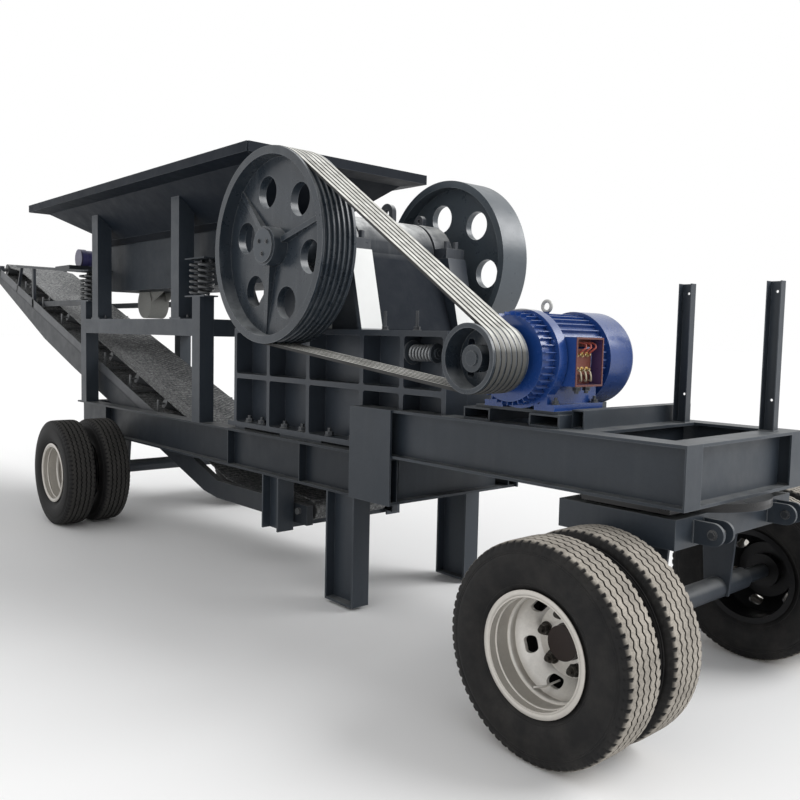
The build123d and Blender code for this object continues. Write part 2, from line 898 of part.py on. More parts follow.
def make_motor_base():
    pieces = []
    z0 = upper_beam_top
    z1 = z0 + base_channel_height
    half = chassis_half_width - 40
    for distance in base_channel_backs:
        x0 = back(distance)
        x1 = x0 + base_channel_width
        wall = base_channel_wall
        tube = block(x0, x1, -half, half, z0, z1)
        tube -= block(x0 + wall, x1 - wall, -half - 1, half + 1, z0 + wall, z1 - wall)
        pieces.append(tube)
    plate = block(
        back(base_channel_backs[0]) + 60,
        back(base_channel_backs[1]) + base_channel_width - 20,
        bell_back_y + 15,
        frame_back_y - 2,
        z1,
        z1 + base_plate_thickness,
    )
    return pieces[0] + pieces[1] + plate


def make_motor_body():
    x = back(motor_back)
    body = cylinder_y(x, motor_z, motor_radius - motor_fin_height, bell_front_y, frame_back_y)
    bell = cylinder_y(x, motor_z, motor_radius + 15, bell_back_y, bell_back_y + 55)
    body += bell
    for index in range(36):
        angle = index * 10
        if 215 < angle < 325:
            continue
        fin = block(
            0,
            motor_radius,
            bell_back_y + 55,
            frame_back_y,
            -motor_fin_thickness / 2,
            motor_fin_thickness / 2,
        )
        body += Pos(x, 0, motor_z) * Rot(0, -angle, 0) * fin
    foot_bottom = upper_beam_top + base_channel_height + base_plate_thickness
    foot_top = foot_bottom + 28
    for side in (-1, 1):
        x0 = x + side * 90
        x1 = x + side * 200
        body += block(min(x0, x1), max(x0, x1), bell_back_y, frame_back_y - 10, foot_bottom, foot_top)
        inner = x + side * 120
        outer = x + side * 160
        body += block(min(inner, outer), max(inner, outer), bell_back_y, frame_back_y - 10, foot_bottom, motor_z - 60)
    eye_z = motor_z + motor_radius + eye_bolt_radius + eye_bolt_wire
    ring = Pos(x, eye_bolt_y, eye_z) * Rot(90, 0, 0) * Torus(eye_bolt_radius, eye_bolt_wire)
    body += ring + cylinder_z(x, eye_bolt_y, eye_bolt_wire * 1.5, motor_z + motor_radius - 30, eye_z - eye_bolt_radius)
    shaft_hole = motor_shaft_radius + bearing_clearance
    body -= cylinder_y(x, motor_z, shaft_hole, bell_front_y - 1, bell_front_y + motor_shaft_depth + 6)
    return body


def make_fan_cover():
    """The cover over the fan, with a narrower ring towards the frame that leaves a dark gap."""
    x = back(motor_back)
    cover = cylinder_y(x, motor_z, cover_radius, cover_front_y, cover_back_y)
    rim_edges = cover.edges().filter_by(GeomType.CIRCLE).sort_by(Axis.Y)[-1]
    cover = fillet(rim_edges, 35)
    return cover + cylinder_y(x, motor_z, cover_gap_radius, frame_back_y, cover_front_y)


def make_terminal_box():
    x0 = back(motor_back) + motor_radius - 20
    y0 = -394.0
    y1 = -200.0
    z0 = motor_z - 113
    z1 = motor_z + 99
    x1 = back(motor_back) + 262
    box = block(x0, x1, y0, y1, z0, z1)
    box -= block(x0 + 12, x1 + 1, y0 + 8, y1 - 8, z0 + 8, z1 - 8)
    box -= cylinder_y(back(motor_back), motor_z, motor_radius + 0.3, y0 - 1, y1 + 1)
    return box


# Hopper
def panel(points, thickness):
    """A flat plate from its upper-side corners, its thickness measured straight down."""
    top = [Vector(*point) for point in points]
    bottom = [point - Vector(0, 0, thickness) for point in top]
    count = len(points)
    faces = [
        Face(Wire.make_polygon(top, close=True)),
        Face(Wire.make_polygon(bottom, close=True)),
    ]
    for index in range(count):
        after = (index + 1) % count
        faces.append(Face(Wire.make_polygon([top[index], top[after], bottom[after], bottom[index]], close=True)))
    return Solid(Shell(faces))


def hopper_levels():
    """Half widths, back ends, front ends and heights of the rim, the kink and the throat."""
    rim = (rim_half_width, rim_back, rim_front, rim_top - rim_band)
    kink = (rim_half_width - kink_inset, rim_back - kink_inset, rim_front + kink_inset, rim_top - rim_band - kink_drop)
    throat = (throat_half_width, throat_back, throat_front, throat_z)
    return rim, kink, throat


def make_hopper_walls():
    rim, kink, throat = hopper_levels()
    sides = []
    for high, low in ((rim, kink), (kink, throat)):
        sides.append(
            panel(
                [
                    (back(high[1]), -high[0], high[3]),
                    (back(high[2]), -high[0], high[3]),
                    (back(low[2]), -low[0], low[3]),
                    (back(low[1]), -low[0], low[3]),
                ],
                hopper_plate,
            )
        )
    band = block(
        back(rim_back), back(rim_front), -rim_half_width - hopper_plate, -rim_half_width, rim_top - rim_band - hopper_plate, rim_top
    )
    side = sides[0] + sides[1] + band
    return Compound([side, mirrored(side)])


def make_hopper_ends():
    rim, kink, throat = hopper_levels()
    ends = []
    for which, sign in ((1, -1), (2, 1)):
        end = None
        for high, low in ((rim, kink), (kink, throat)):
            plate = panel(
                [
                    (back(high[which]), -high[0], high[3]),
                    (back(high[which]), high[0], high[3]),
                    (back(low[which]), low[0], low[3]),
                    (back(low[which]), -low[0], low[3]),
                ],
                hopper_plate,
            )
            end = plate if end is None else end + plate
        x = back(rim[which])
        end += block(
            x, x + sign * hopper_plate, -rim_half_width, rim_half_width, rim_top - rim_band - hopper_plate, rim_top
        )
        ends.append(end)
    return Compound(ends)


def hopper_side_z(y):
    """Height of the underside of the hopper's side wall this far from the middle."""
    rim, kink, throat = hopper_levels()
    share = (abs(y) - throat[0]) / (kink[0] - throat[0])
    return throat[3] + share * (kink[3] - throat[3]) - hopper_plate


def cross_profile(points, x0, x1):
    """A piece cut to an outline of (y, z) points, running lengthwise from x0 to x1."""
    face = Plane.YZ * make_face(Polyline(*points, close=True))
    return Pos(x0, 0, 0) * extrude(face, amount=x1 - x0)


def make_hopper_legs():
    legs = []
    z0 = side_rail_top
    y0 = -chassis_half_width
    y1 = y0 + hopper_leg_size
    outline = [(y0, z0), (y1, z0), (y1, hopper_side_z(y1)), (y0, hopper_side_z(y0))]
    for distance in hopper_leg_backs:
        x1 = back(distance)
        x0 = x1 - hopper_leg_size
        leg = cross_profile(outline, x0, x1)
        leg -= block(x0 + leg_wall, x1 - leg_wall, y0 + leg_wall, y1 - leg_wall, z0 + 12, rim_top)
        leg += block(x0 - 25, x0, y0, y1, z0, z0 + 12)
        leg += block(x1, x1 + 25, y0, y1, z0, z0 + 12)
        legs += [leg, mirrored(leg)]
    return Compound(legs)


# Feeder
def make_feeder_frame():
    frame = None
    y0 = -chassis_half_width
    y1 = y0 + column_size
    for distance in column_fronts:
        x1 = back(distance)
        x0 = x1 - column_size
        post = tube_upright(x0, x1, y0, y1, lower_beam_top, column_top, column_wall)
        frame = post if frame is None else frame + post
        tie = block(x0 + 5, x1 - 5, y1, -y1, side_rail_top - side_rail_height, side_rail_top)
        frame += tie
    rail = block(
        back(column_fronts[1]),
        back(column_fronts[0]) - column_size,
        y0,
        y1,
        side_rail_top - side_rail_height,
        side_rail_top,
    )
    frame += rail
    frame += mirrored(frame)
    return frame


def make_feeder_trough():
    half = throat_half_width - 20
    x0 = back(trough_back)
    x1 = back(trough_front)
    outer = block(x0, x1, -half, half, trough_bottom, trough_top)
    inner = block(
        x0 + trough_plate, x1 + 1, -half + trough_plate, half - trough_plate, trough_bottom + trough_plate, trough_top + 1
    )
    trough = outer - inner
    for distance in column_fronts:
        x_middle = back(distance) - column_size / 2
        seat_z = column_top + 2 * spring_plate + spring_height
        x0 = x_middle - spring_plate_back
        x1 = x_middle + spring_plate_front
        trough += block(x0, x1, -chassis_half_width, -half, seat_z, seat_z + spring_plate)
        trough += block(x0, x1, half, chassis_half_width, seat_z, seat_z + spring_plate)
    return trough


def make_feeder_springs():
    stack = []
    for distance in column_fronts:
        x_middle = back(distance) - column_size / 2
        for side in (-1, 1):
            y = side * (chassis_half_width - column_size / 2)
            x0 = x_middle - spring_plate_back
            x1 = x_middle + spring_plate_front
            plate = block(x0, x1, y - 55, y + 55, column_top, column_top + spring_plate)
            for offset in (-52, 52):
                spring = cylinder_z(
                    x_middle + offset,
                    y,
                    spring_outer,
                    column_top + spring_plate,
                    column_top + 2 * spring_plate + spring_height,
                )
                plate += spring
            stack.append(plate)
    return Compound(stack)


def make_feeder_exciter():
    """The drum that shakes the feeder, between two gusset plates under the trough."""
    x = back(exciter_back)
    z = trough_bottom - exciter_drop
    half = exciter_half_length
    drum = cylinder_y(x, z, exciter_radius, -half, half)
    for y0 in (-half + 10, half - 10 - gusset_thickness):
        drum += side_profile(
            [
                (x - exciter_radius, trough_bottom),
                (x - exciter_radius * 0.8, z),
                (x + exciter_radius * 0.8, z),
                (x + gusset_reach, trough_bottom),
            ],
            y0,
            y0 + gusset_thickness,
        )
    reach = 2 * exciter_radius
    return drum - block(x - reach, x + reach, -reach, reach, trough_bottom, trough_bottom + reach)


# Conveyor
def belt_z(distance):
    """Height of the belt's raised edge at a distance behind the chassis front."""
    return belt_edge_z + (distance - belt_edge_back) * belt_slope


def belt_path():
    """(x, z) of the head drum's centre, the knee and the tail drum's centre."""
    lean = math.cos(math.atan(belt_slope))
    below = belt_wing_rise + (drum_radius + belt_thickness) / lean
    head = (back(head_back), belt_z(head_back) - below)
    knee = (back(knee_back), belt_z(knee_back) - below)
    tail = (back(tail_back), tail_drum_z)
    return [head, knee, tail]


def belt_hull(radius, y0, y1):
    """The space inside a line round the drums at this radius, between two sides."""
    path = belt_path()
    hull = None
    for x, z in path:
        disc = cylinder_y(x, z, radius, y0, y1)
        hull = disc if hull is None else hull + disc
    for (xa, za), (xb, zb) in zip(path, path[1:]):
        length = math.hypot(xb - xa, zb - za)
        pitch = math.degrees(math.atan2(zb - za, xb - xa))
        slab = Box(length, y1 - y0, 2 * radius)
        hull += Pos((xa + xb) / 2, (y0 + y1) / 2, (za + zb) / 2) * Rot(0, -pitch, 0) * slab
    return hull


def path_z(distance):
    """Height of the line through the drum centres at a distance."""
    head, knee, tail = belt_path()
    x = back(distance)
    start, end = (head, knee) if x < knee[0] else (knee, tail)
    return start[1] + (x - start[0]) / (end[0] - start[0]) * (end[1] - start[1])


def carrying_z(distance):
    """Height of the belt's upper face at its middle."""
    head, knee, tail = belt_path()
    start, end = (head, knee) if back(distance) < knee[0] else (knee, tail)
    lean = math.cos(math.atan2(end[1] - start[1], end[0] - start[0]))
    return path_z(distance) + (drum_radius + belt_thickness) / lean


def belt_wing():
    """The right wing of the carrying run, flat at both drums and raised between them."""
    stations = (
        (head_flat_back, 0.0),
        (head_flat_back - trough_run, belt_wing_rise),
        (knee_back, belt_wing_rise),
        (tail_flat_back + trough_run, belt_wing_rise),
        (tail_flat_back, 0.0),
    )
    sections = []
    for distance, rise in stations:
        z = carrying_z(distance)
        corners = [
            (-belt_flat_half + 1, z),
            (-belt_half_width, z + rise),
            (-belt_half_width, z + rise - belt_thickness),
            (-belt_flat_half + 1, z - belt_thickness),
        ]
        face = Plane.YZ * make_face(Polyline(*corners, close=True))
        sections.append(Pos(back(distance), 0, 0) * face)
    return loft(sections, ruled=True)


def make_conveyor_belt():
    """One closed loop: its carrying run is a shallow trough, its return run is flat."""
    outer = drum_radius + belt_thickness
    belt = belt_hull(outer, -belt_flat_half, belt_flat_half)
    belt -= belt_hull(drum_radius, -belt_flat_half - 1, belt_flat_half + 1)
    side = belt_hull(outer, -belt_half_width, -belt_flat_half) - belt_hull(
        drum_radius, -belt_half_width - 1, -belt_flat_half + 1
    )
    carrying_space = [
        (back(head_flat_back), path_z(head_flat_back)),
        (back(knee_back), path_z(knee_back)),
        (back(tail_flat_back), path_z(tail_flat_back)),
        (back(tail_flat_back), path_z(tail_flat_back) + 2 * outer),
        (back(knee_back), path_z(knee_back) + 2 * outer),
        (back(head_flat_back), path_z(head_flat_back) + 2 * outer),
    ]
    side -= side_profile(carrying_space, -belt_half_width - 1, -belt_flat_half + 1)
    side += belt_wing()
    return belt + side + mirrored(side)


def make_conveyor_drums():
    head, knee, tail = belt_path()
    drums = []
    reach = stringer_y + stringer_width + 20
    for x, z in (head, tail):
        drum = cylinder_y(x, z, drum_radius - idler_gap, -belt_half_width, belt_half_width)
        drum += cylinder_y(x, z, drum_shaft_radius, -reach, reach)
        drums.append(drum)
    return Compound(drums)


def stringer_z(distance):
    """Height of the upper edge of the conveyor's stringers."""
    return belt_z(max(distance, knee_back)) - stringer_drop


def make_conveyor_frame():
    """Two channel stringers, deepest in the middle, joined by bars, with bearing blocks at the head."""
    tail_top = stringer_z(stringer_tail_front)
    points = [
        (back(stringer_end), stringer_z(stringer_end)),
        (back(knee_back), tail_top),
        (back(stringer_tail_front), tail_top),
        (back(stringer_tail_front), stringer_tail_bottom),
        (back(knee_back), stringer_tail_bottom),
        (back(stringer_heel_back), stringer_heel_z),
        (back(stringer_belly_front), stringer_z(stringer_belly_front) - stringer_belly),
        (back(stringer_belly_back), stringer_z(stringer_belly_back) - stringer_belly),
        (back(stringer_end), stringer_z(stringer_end) - stringer_end_depth),
    ]
    y0 = -stringer_y - stringer_width
    side = side_profile(points, y0, -stringer_y)
    hollow = offset(Plane.XZ * outline(points), amount=-stringer_wall)
    side -= Pos(0, -stringer_y + 1, 0) * extrude(hollow, amount=stringer_width - stringer_wall + 1)
    head, knee, tail = belt_path()
    half = bearing_block / 2
    side += side_profile(
        [
            (head[0] - half, stringer_z(head_back + half)),
            (head[0] + half, stringer_z(head_back - half)),
            (head[0] + half, head[1] + bearing_block_height),
            (head[0] - half, head[1] + bearing_block_height),
        ],
        y0,
        -stringer_y,
    )
    for x, z in (head, tail):
        side -= cylinder_y(x, z, drum_shaft_radius + idler_gap, y0 - 1, -stringer_y + 1)
    frame = side + mirrored(side)
    reach = stringer_y + stringer_wall
    bar = cross_bar / 2
    for distance in cross_bar_backs:
        x = back(distance)
        z = stringer_z(distance) - cross_bar_drop
        frame += block(x - bar, x + bar, -reach, reach, z - bar, z + bar)
    for distance in tail_bar_backs:
        x = back(distance)
        z = stringer_tail_bottom
        frame += block(x - bar, x + bar, -reach, reach, z, z + tail_bar_height)
    for distance in cross_bar_backs + tail_bar_backs:
        x = back(distance)
        z = stringer_tail_bottom if distance < knee_back else stringer_z(distance) - cross_bar_drop - bar
        frame += block(x - bar, x + bar, -stringer_y - stringer_width + 1, -stringer_y, z, z + tail_bar_height)
        frame += block(x - bar, x + bar, stringer_y, stringer_y + stringer_width - 1, z, z + tail_bar_height)
    return frame


def make_conveyor_idlers():
    """Troughing rollers in sets of three on brackets, and plain rollers under the return run."""
    sets = []
    half = idler_bracket / 2
    for distance in idler_backs:
        x = back(distance)
        edge = belt_z(distance)
        low = edge - idler_plate_bottom
        reach = stringer_y + idler_foot
        near = x - idler_plate_half
        far = x + idler_plate_half
        idler = block(near, far, -reach, reach, low, edge - idler_plate_top)
        roller_z = carrying_z(distance) - (belt_thickness + idler_radius + idler_gap) / math.cos(
            math.atan(belt_slope)
        )
        idler += cylinder_y(x, roller_z, idler_radius, -belt_flat_half + half, belt_flat_half - half)
        wing_run = math.hypot(belt_half_width - belt_flat_half, belt_wing_rise)
        tilt = math.degrees(math.atan2(belt_wing_rise, belt_half_width - belt_flat_half))
        roller = Pos(0, -wing_run / 2, 0) * Rot(90, 0, 0) * Cylinder(idler_radius, wing_run - 2 * idler_bracket)
        roller = Pos(x, -belt_flat_half, roller_z - wing_roller_drop) * Rot(-tilt, 0, 0) * roller
        idler += roller + mirrored(roller)
        for y in (-belt_flat_half, belt_flat_half):
            idler += block(x - 12, x + 12, y - half, y + half, low, roller_z + 12)
        for side in (-1, 1):
            inner = side * stringer_y
            outer = side * reach
            foot_z = stringer_z(distance + idler_plate_half)
            idler += block(near, far, inner, outer, foot_z, low + 1)
            idler += block(x - 12, x + 12, inner, inner + side * idler_bracket, low, edge - belt_wing_rise / 2)
            idler += cylinder_y(x, roller_z + belt_wing_rise - 10, 8, inner - side * 60, inner + side * half)
        sets.append(idler)
    for distance in return_idler_backs:
        x = back(distance)
        lean = math.cos(math.atan(belt_slope))
        z = path_z(distance) - (drum_radius + belt_thickness + idler_radius + idler_gap) / lean
        roller = cylinder_y(x, z, idler_radius, -belt_half_width, belt_half_width)
        roller += cylinder_y(x, z, 12, -stringer_y - stringer_width + stringer_wall, stringer_y + stringer_width - stringer_wall)
        sets.append(roller)
    return Compound(sets)


def top_bar_z(distance):
    """Height of the upper edge of the guard's sloping top bar."""
    share = (distance - top_bar_front) / (top_bar_back - top_bar_front)
    return top_bar_front_z + share * (top_bar_back_z - top_bar_front_z)


def make_conveyor_guard():
    """Level tubes, uprights and a light top bar on each side, and the small motor's platform."""
    y_outer = -stringer_y - stringer_width
    tube_y = -stringer_y + guard_bar_width
    side = block(
        back(guard_bar_back), back(guard_bar_front), -stringer_y, tube_y, guard_bar_top - guard_bar, guard_bar_top
    )
    column_inner = -chassis_half_width + column_size
    side += block(
        back(guard_bar_front) - column_size,
        back(guard_bar_front),
        column_inner,
        -stringer_y + 1,
        guard_bar_top - guard_bar,
        column_top,
    )
    side += side_profile(
        [
            (back(top_bar_back), top_bar_z(top_bar_back)),
            (back(top_bar_front), top_bar_z(top_bar_front)),
            (back(top_bar_front), top_bar_z(top_bar_front) - top_bar_depth),
            (back(top_bar_back), top_bar_z(top_bar_back) - top_bar_depth),
        ],
        y_outer - top_bar_width,
        y_outer,
    )
    half = upright_width / 2
    for top, foot, wide in (
        (upright_back, upright_back, upright_width),
        (brace_top_back, brace_foot_back, brace_width),
    ):
        half = wide / 2
        side += side_profile(
            [
                (back(foot + half), stringer_z(foot + half)),
                (back(foot - half), stringer_z(foot - half)),
                (back(top - half), top_bar_z(top - half)),
                (back(top + half), top_bar_z(top + half)),
            ],
            y_outer,
            y_outer + upright_thickness,
        )
    guard = side + mirrored(side)
    x0 = back(drive_back + drive_platform_half)
    x1 = back(drive_back - drive_platform_half)
    platform_top = top_bar_z(drive_back + drive_platform_half) + drive_platform
    guard += side_profile(
        [
            (x0, top_bar_z(drive_back + drive_platform_half)),
            (x1, top_bar_z(drive_back - drive_platform_half)),
            (x1, platform_top),
            (x0, platform_top),
        ],
        y_outer - top_bar_width,
        -y_outer + top_bar_width,
    )
    return guard


def make_feeder_motor():
    """The small motor on the platform: finned body, end cap towards the right, foot plate."""
    x = back(drive_back)
    z = top_bar_z(drive_back + drive_platform_half) + drive_platform + drive_height
    z0 = z - drive_height
    motor = cylinder_y(x, z, drive_radius - 8, drive_y0 + drive_cap, drive_y1)
    motor += cylinder_y(x, z, drive_radius, drive_y0, drive_y0 + drive_cap)
    motor += cylinder_y(x, z, drive_radius, drive_y1 - 30, drive_y1)
    motor += cylinder_y(x, z, 14, drive_y1, drive_y1 + 50)
    motor += block(x - drive_radius, x + drive_radius, drive_y0 + drive_cap + 20, drive_y1 - 40, z0, z0 + 14)
    motor += block(x - 45, x + 45, drive_y0 + drive_cap + 20, drive_y1 - 40, z0, z)
    return motor - block(x - 2 * drive_radius, x + 2 * drive_radius, drive_y0 - 1, drive_y1 + 51, z0 - 90, z0)


# Axles, bogie and wheels
def axle(distance):
    """An axle tube with a thinner spindle at each end for its wheels."""
    x = back(distance)
    reach = outer_wheel_y - dual_spacing - tyre_width / 2 - 38
    tube = cylinder_y(x, tyre_radius, axle_radius, -reach, reach)
    tube += cylinder_y(x, tyre_radius, spindle_radius, -spindle_end, spindle_end)
    return tube


def make_rear_axle():
    x = back(rear_axle_back)
    piece = axle(rear_axle_back)
    outline_points = [
        (x - hanger_top_half, lower_beam_bottom),
        (x - hanger_foot_half, tyre_radius - axle_radius * 0.6),
        (x + hanger_foot_half, tyre_radius - axle_radius * 0.6),
        (x + hanger_top_half, lower_beam_bottom),
    ]
    hanger = side_profile(outline_points, -beam_y - hanger_plate / 2, -beam_y + hanger_plate / 2)
    piece += hanger
    piece += mirrored(hanger)
    return piece


def make_front_axle():
    x = back(front_axle_back)
    piece = axle(front_axle_back)
    top = lower_beam_top - bogie_gap - bogie_plate
    outline_points = [
        (x - hanger_top_half, top),
        (x - hanger_foot_half, tyre_radius - axle_radius * 0.6),
        (x + hanger_foot_half, tyre_radius - axle_radius * 0.6),
        (x + hanger_top_half, top),
    ]
    hanger = side_profile(outline_points, -hanger_y - hanger_plate, -hanger_y)
    piece += hanger
    piece += mirrored(hanger)
    return piece


def make_bogie_frame():
    top = lower_beam_top - bogie_gap
    x1 = back(bogie_front)
    x0 = x1 - bogie_length
    frame = block(x0, x1, -bogie_half_width, bogie_half_width, top - bogie_height, top)
    frame -= block(
        x0 + bogie_plate,
        x1 - bogie_plate,
        -bogie_half_width + bogie_plate,
        bogie_half_width - bogie_plate,
        top - bogie_height - 1,
        top - bogie_plate,
    )
    disc_top = lower_beam_top - bogie_gap + turntable_thickness - turntable_clearance
    frame += cylinder_z(back(front_axle_back), 0, turntable_radius, top, disc_top)
    frame += cylinder_z(back(front_axle_back), 0, kingpin_radius, top, lower_beam_top + 40)
    z = top - bogie_height / 2
    for side in (-1, 1):
        for offset in (-1, 1):
            y = side * lug_y + offset * (lug_gap + lug_thickness) / 2
            lug = block(x1, x1 + lug_reach - lug_radius, y - lug_thickness / 2, y + lug_thickness / 2, z - lug_radius, z + lug_radius)
            lug += cylinder_y(x1 + lug_reach - lug_radius, z, lug_radius, y - lug_thickness / 2, y + lug_thickness / 2)
            lug -= cylinder_y(x1 + lug_reach - lug_radius, z, lug_bore_radius, y - lug_thickness, y + lug_thickness)
            frame += lug
    return frame


def tyre(y):
    """A pneumatic tyre with a rounded shoulder, centred on its axle."""
    bead = rim_width / 2
    seat = rim_radius - 19
    wall = tyre_width / 2
    height = tyre_radius - rim_radius
    half_section = [
        (seat, bead - 12),
        (rim_radius + 6, bead),
        (rim_radius + height * 0.42, wall),
        (rim_radius + height * 0.8, wall - 8),
        (rim_radius + height * 0.94, wall - 20),
        (tyre_radius, wall - 38),
    ]
    points = [(radius, y - reach) for radius, reach in half_section]
    points += [(radius, y + reach) for radius, reach in reversed(half_section)]
    return revolve(outline(points), axis=Axis.Y, revolution_arc=360)


def outline(points):
    """A flat face in the XY plane through these corners."""
    return make_face(Polyline(*points, close=True))


def rim_section(y):
    """Half section of a rim's barrel and its two flanges."""
    half = rim_width / 2
    seat = rim_radius - 19
    inner = seat - rim_wall
    points = [
        (rim_radius, y - half - rim_wall),
        (seat, y - half),
        (seat, y + half),
        (rim_radius, y + half + rim_wall),
        (inner, y + half + rim_wall),
        (inner, y - half - rim_wall),
    ]
    return outline(points)


def disc_section(y, disc_y):
    """Half section of a dished disc whose flat centre lies against the other wheel's."""
    inner = rim_radius - 19 - rim_wall
    away = math.copysign(1, y - disc_y)
    points = [
        (hub_radius - 2, disc_y),
        (138, disc_y),
        (inner + 3, disc_y + away * 70),
        (inner + 3, disc_y + away * 86),
        (136, disc_y + away * 12),
        (hub_radius - 2, disc_y + away * 12),
    ]
    return outline(points)


def hub_section(mate_y):
    """Half section of the hub: cap, barrel, flange behind the discs and the bore for the spindle."""
    bore = spindle_radius + bearing_clearance
    cap_face = -mate_y - 55
    bore_end = -spindle_end - spindle_end_gap
    points = [
        (0, cap_face),
        (hub_cap_radius, cap_face),
        (hub_cap_radius, -mate_y - 20),
        (hub_radius, -mate_y - 20),
        (hub_radius, -mate_y + 12),
        (hub_flange_radius, -mate_y + 12),
        (hub_flange_radius, -mate_y + 30),
        (hub_radius, -mate_y + 30),
        (hub_radius, -mate_y + 70),
        (bore, -mate_y + 70),
        (bore, bore_end),
        (0, bore_end),
    ]
    return outline(points)


def make_wheel_set(distance, side):
    """Two tyres and two rims with their shared hub, for one end of an axle."""
    inner_y = outer_wheel_y - dual_spacing
    mate_y = (inner_y + outer_wheel_y) / 2
    tyres = Compound([tyre(-outer_wheel_y), tyre(-inner_y)])
    section = hub_section(mate_y)
    for y in (-outer_wheel_y, -inner_y):
        section += rim_section(y)
        section += disc_section(y, -mate_y)
    rims = revolve(section, axis=Axis.Y, revolution_arc=360)
    holes = []
    for index in range(hand_hole_count):
        angle = math.radians(hand_hole_start + 360 / hand_hole_count * index)
        hole_x = hand_hole_circle * math.cos(angle)
        hole_z = hand_hole_circle * math.sin(angle)
        slot = Plane.XZ * SlotOverall(hand_hole_length, 2 * hand_hole_radius)
        turned = Rot(0, 90 - math.degrees(angle), 0) * extrude(slot, amount=90, both=True)
        holes.append(Pos(hole_x, -mate_y, hole_z) * turned)
    rims -= holes
    place = Pos(back(distance), 0, tyre_radius)
    if side > 0:
        tyres = mirrored(tyres)
        rims = mirrored(rims)
    return place * tyres, place * rims


def main():
    os.makedirs("parts", exist_ok=True)
    right_wall = make_side_wall()
    pieces = {
        "lower_beams": make_lower_beams(),
        "upper_beams": make_upper_beams(),
        "cross_beams": make_cross_beams(),
        "splice_plates": make_splice_plates(),
        "support_legs": make_support_legs(),
        "tail_hanger": make_tail_hanger(),
        "front_posts": make_front_posts(),
        "turntable_plate": make_turntable_plate(),
        "side_wall_right": right_wall,
        "side_wall_left": mirrored(right_wall),
        "back_wall": make_back_wall(),
        "toggle_block": make_toggle_block(),
        "jaw_plates": make_jaw_plates(),
        "swing_jaw": make_swing_jaw(),
        "swing_jaw_plate": make_swing_jaw_plate(),
        "toggle_plate": make_toggle_plate(),
        "tension_rods": make_tension_rods(),
        "tension_springs": make_tension_springs(),
        "bearing_caps": make_bearing_caps(),
        "eccentric_shaft": make_eccentric_shaft(),
        "grooved_sheave": make_grooved_sheave(),
        "plain_flywheel": make_plain_flywheel(),
        "v_belts": make_v_belts(),
        "motor_pulley": make_motor_pulley(),
        "motor_base": make_motor_base(),
        "motor_body": make_motor_body(),
        "fan_cover": make_fan_cover(),
        "terminal_box": make_terminal_box(),
        "hopper_sides": make_hopper_walls(),
        "hopper_ends": make_hopper_ends(),
        "hopper_legs": make_hopper_legs(),
        "feeder_frame": make_feeder_frame(),
        "feeder_trough": make_feeder_trough(),
        "feeder_springs": make_feeder_springs(),
        "feeder_exciter": make_feeder_exciter(),
        "conveyor_frame": make_conveyor_frame(),
        "conveyor_belt": make_conveyor_belt(),
        "conveyor_drums": make_conveyor_drums(),
        "conveyor_idlers": make_conveyor_idlers(),
        "conveyor_guard": make_conveyor_guard(),
        "feeder_motor": make_feeder_motor(),
        "rear_axle": make_rear_axle(),
        "front_axle": make_front_axle(),
        "bogie_frame": make_bogie_frame(),
    }
    for end, distance in (("front", front_axle_back), ("rear", rear_axle_back)):
        for side_name, side in (("right", -1), ("left", 1)):
            tyres, rims = make_wheel_set(distance, side)
            pieces[f"{end}_{side_name}_tyres"] = tyres
            pieces[f"{end}_{side_name}_rims"] = rims
    for name, shape in pieces.items():
        export_step(shape, os.path.join("parts", name + ".step"))


main()
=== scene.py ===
"""Finished look of a jaw crushing plant on a two-axle trailer, in metres.

X runs towards the steering bogie, Y across, Z up. The belt drive is on the -Y side.
"""

import math

import bmesh
import bpy
from mathutils import Matrix, Vector


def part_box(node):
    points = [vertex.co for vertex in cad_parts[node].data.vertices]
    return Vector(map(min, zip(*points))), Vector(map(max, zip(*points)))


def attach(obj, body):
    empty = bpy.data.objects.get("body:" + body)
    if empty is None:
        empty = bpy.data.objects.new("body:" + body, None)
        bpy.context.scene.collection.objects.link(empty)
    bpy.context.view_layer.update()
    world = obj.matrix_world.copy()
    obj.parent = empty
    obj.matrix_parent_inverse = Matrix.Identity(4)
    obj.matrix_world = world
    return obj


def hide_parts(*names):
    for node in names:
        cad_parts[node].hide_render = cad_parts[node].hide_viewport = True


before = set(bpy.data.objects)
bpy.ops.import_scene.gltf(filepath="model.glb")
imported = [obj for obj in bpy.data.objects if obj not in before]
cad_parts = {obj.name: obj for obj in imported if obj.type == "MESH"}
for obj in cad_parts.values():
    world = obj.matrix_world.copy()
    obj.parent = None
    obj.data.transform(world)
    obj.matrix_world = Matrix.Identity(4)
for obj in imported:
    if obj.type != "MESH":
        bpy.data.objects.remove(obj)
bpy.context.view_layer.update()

# The viewpoint is at head height, off the motor end of the drive side.
# The front face of the upper beams is the place that distances are measured from.
front_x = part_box("upper_beams")[1][0]
camera_ahead = 1.5733
camera_y = -3.3257
camera_z = 1.5152
camera_turn = 48.2
camera_dip = 4.3
camera_roll = 1.3
sensor_width = 36.0
focal_pixels = 838.7
frame_pixels = 800.0


def camera_axes(turn, dip, roll):
    """Right, up and back directions of a camera with these angles in degrees."""
    turn, dip, roll = (math.radians(angle) for angle in (turn, dip, roll))
    back = Vector((math.sin(turn) * math.cos(dip), -math.cos(turn) * math.cos(dip), math.sin(dip)))
    right = Vector((math.cos(turn), math.sin(turn), 0))
    up = back.cross(right)
    tilted_right = right * math.cos(roll) + up * math.sin(roll)
    tilted_up = up * math.cos(roll) - right * math.sin(roll)
    return tilted_right, tilted_up, back


def linked(name, data):
    """An object with this mesh, lamp or camera, in the scene."""
    made = bpy.data.objects.new(name, data)
    bpy.context.collection.objects.link(made)
    return made


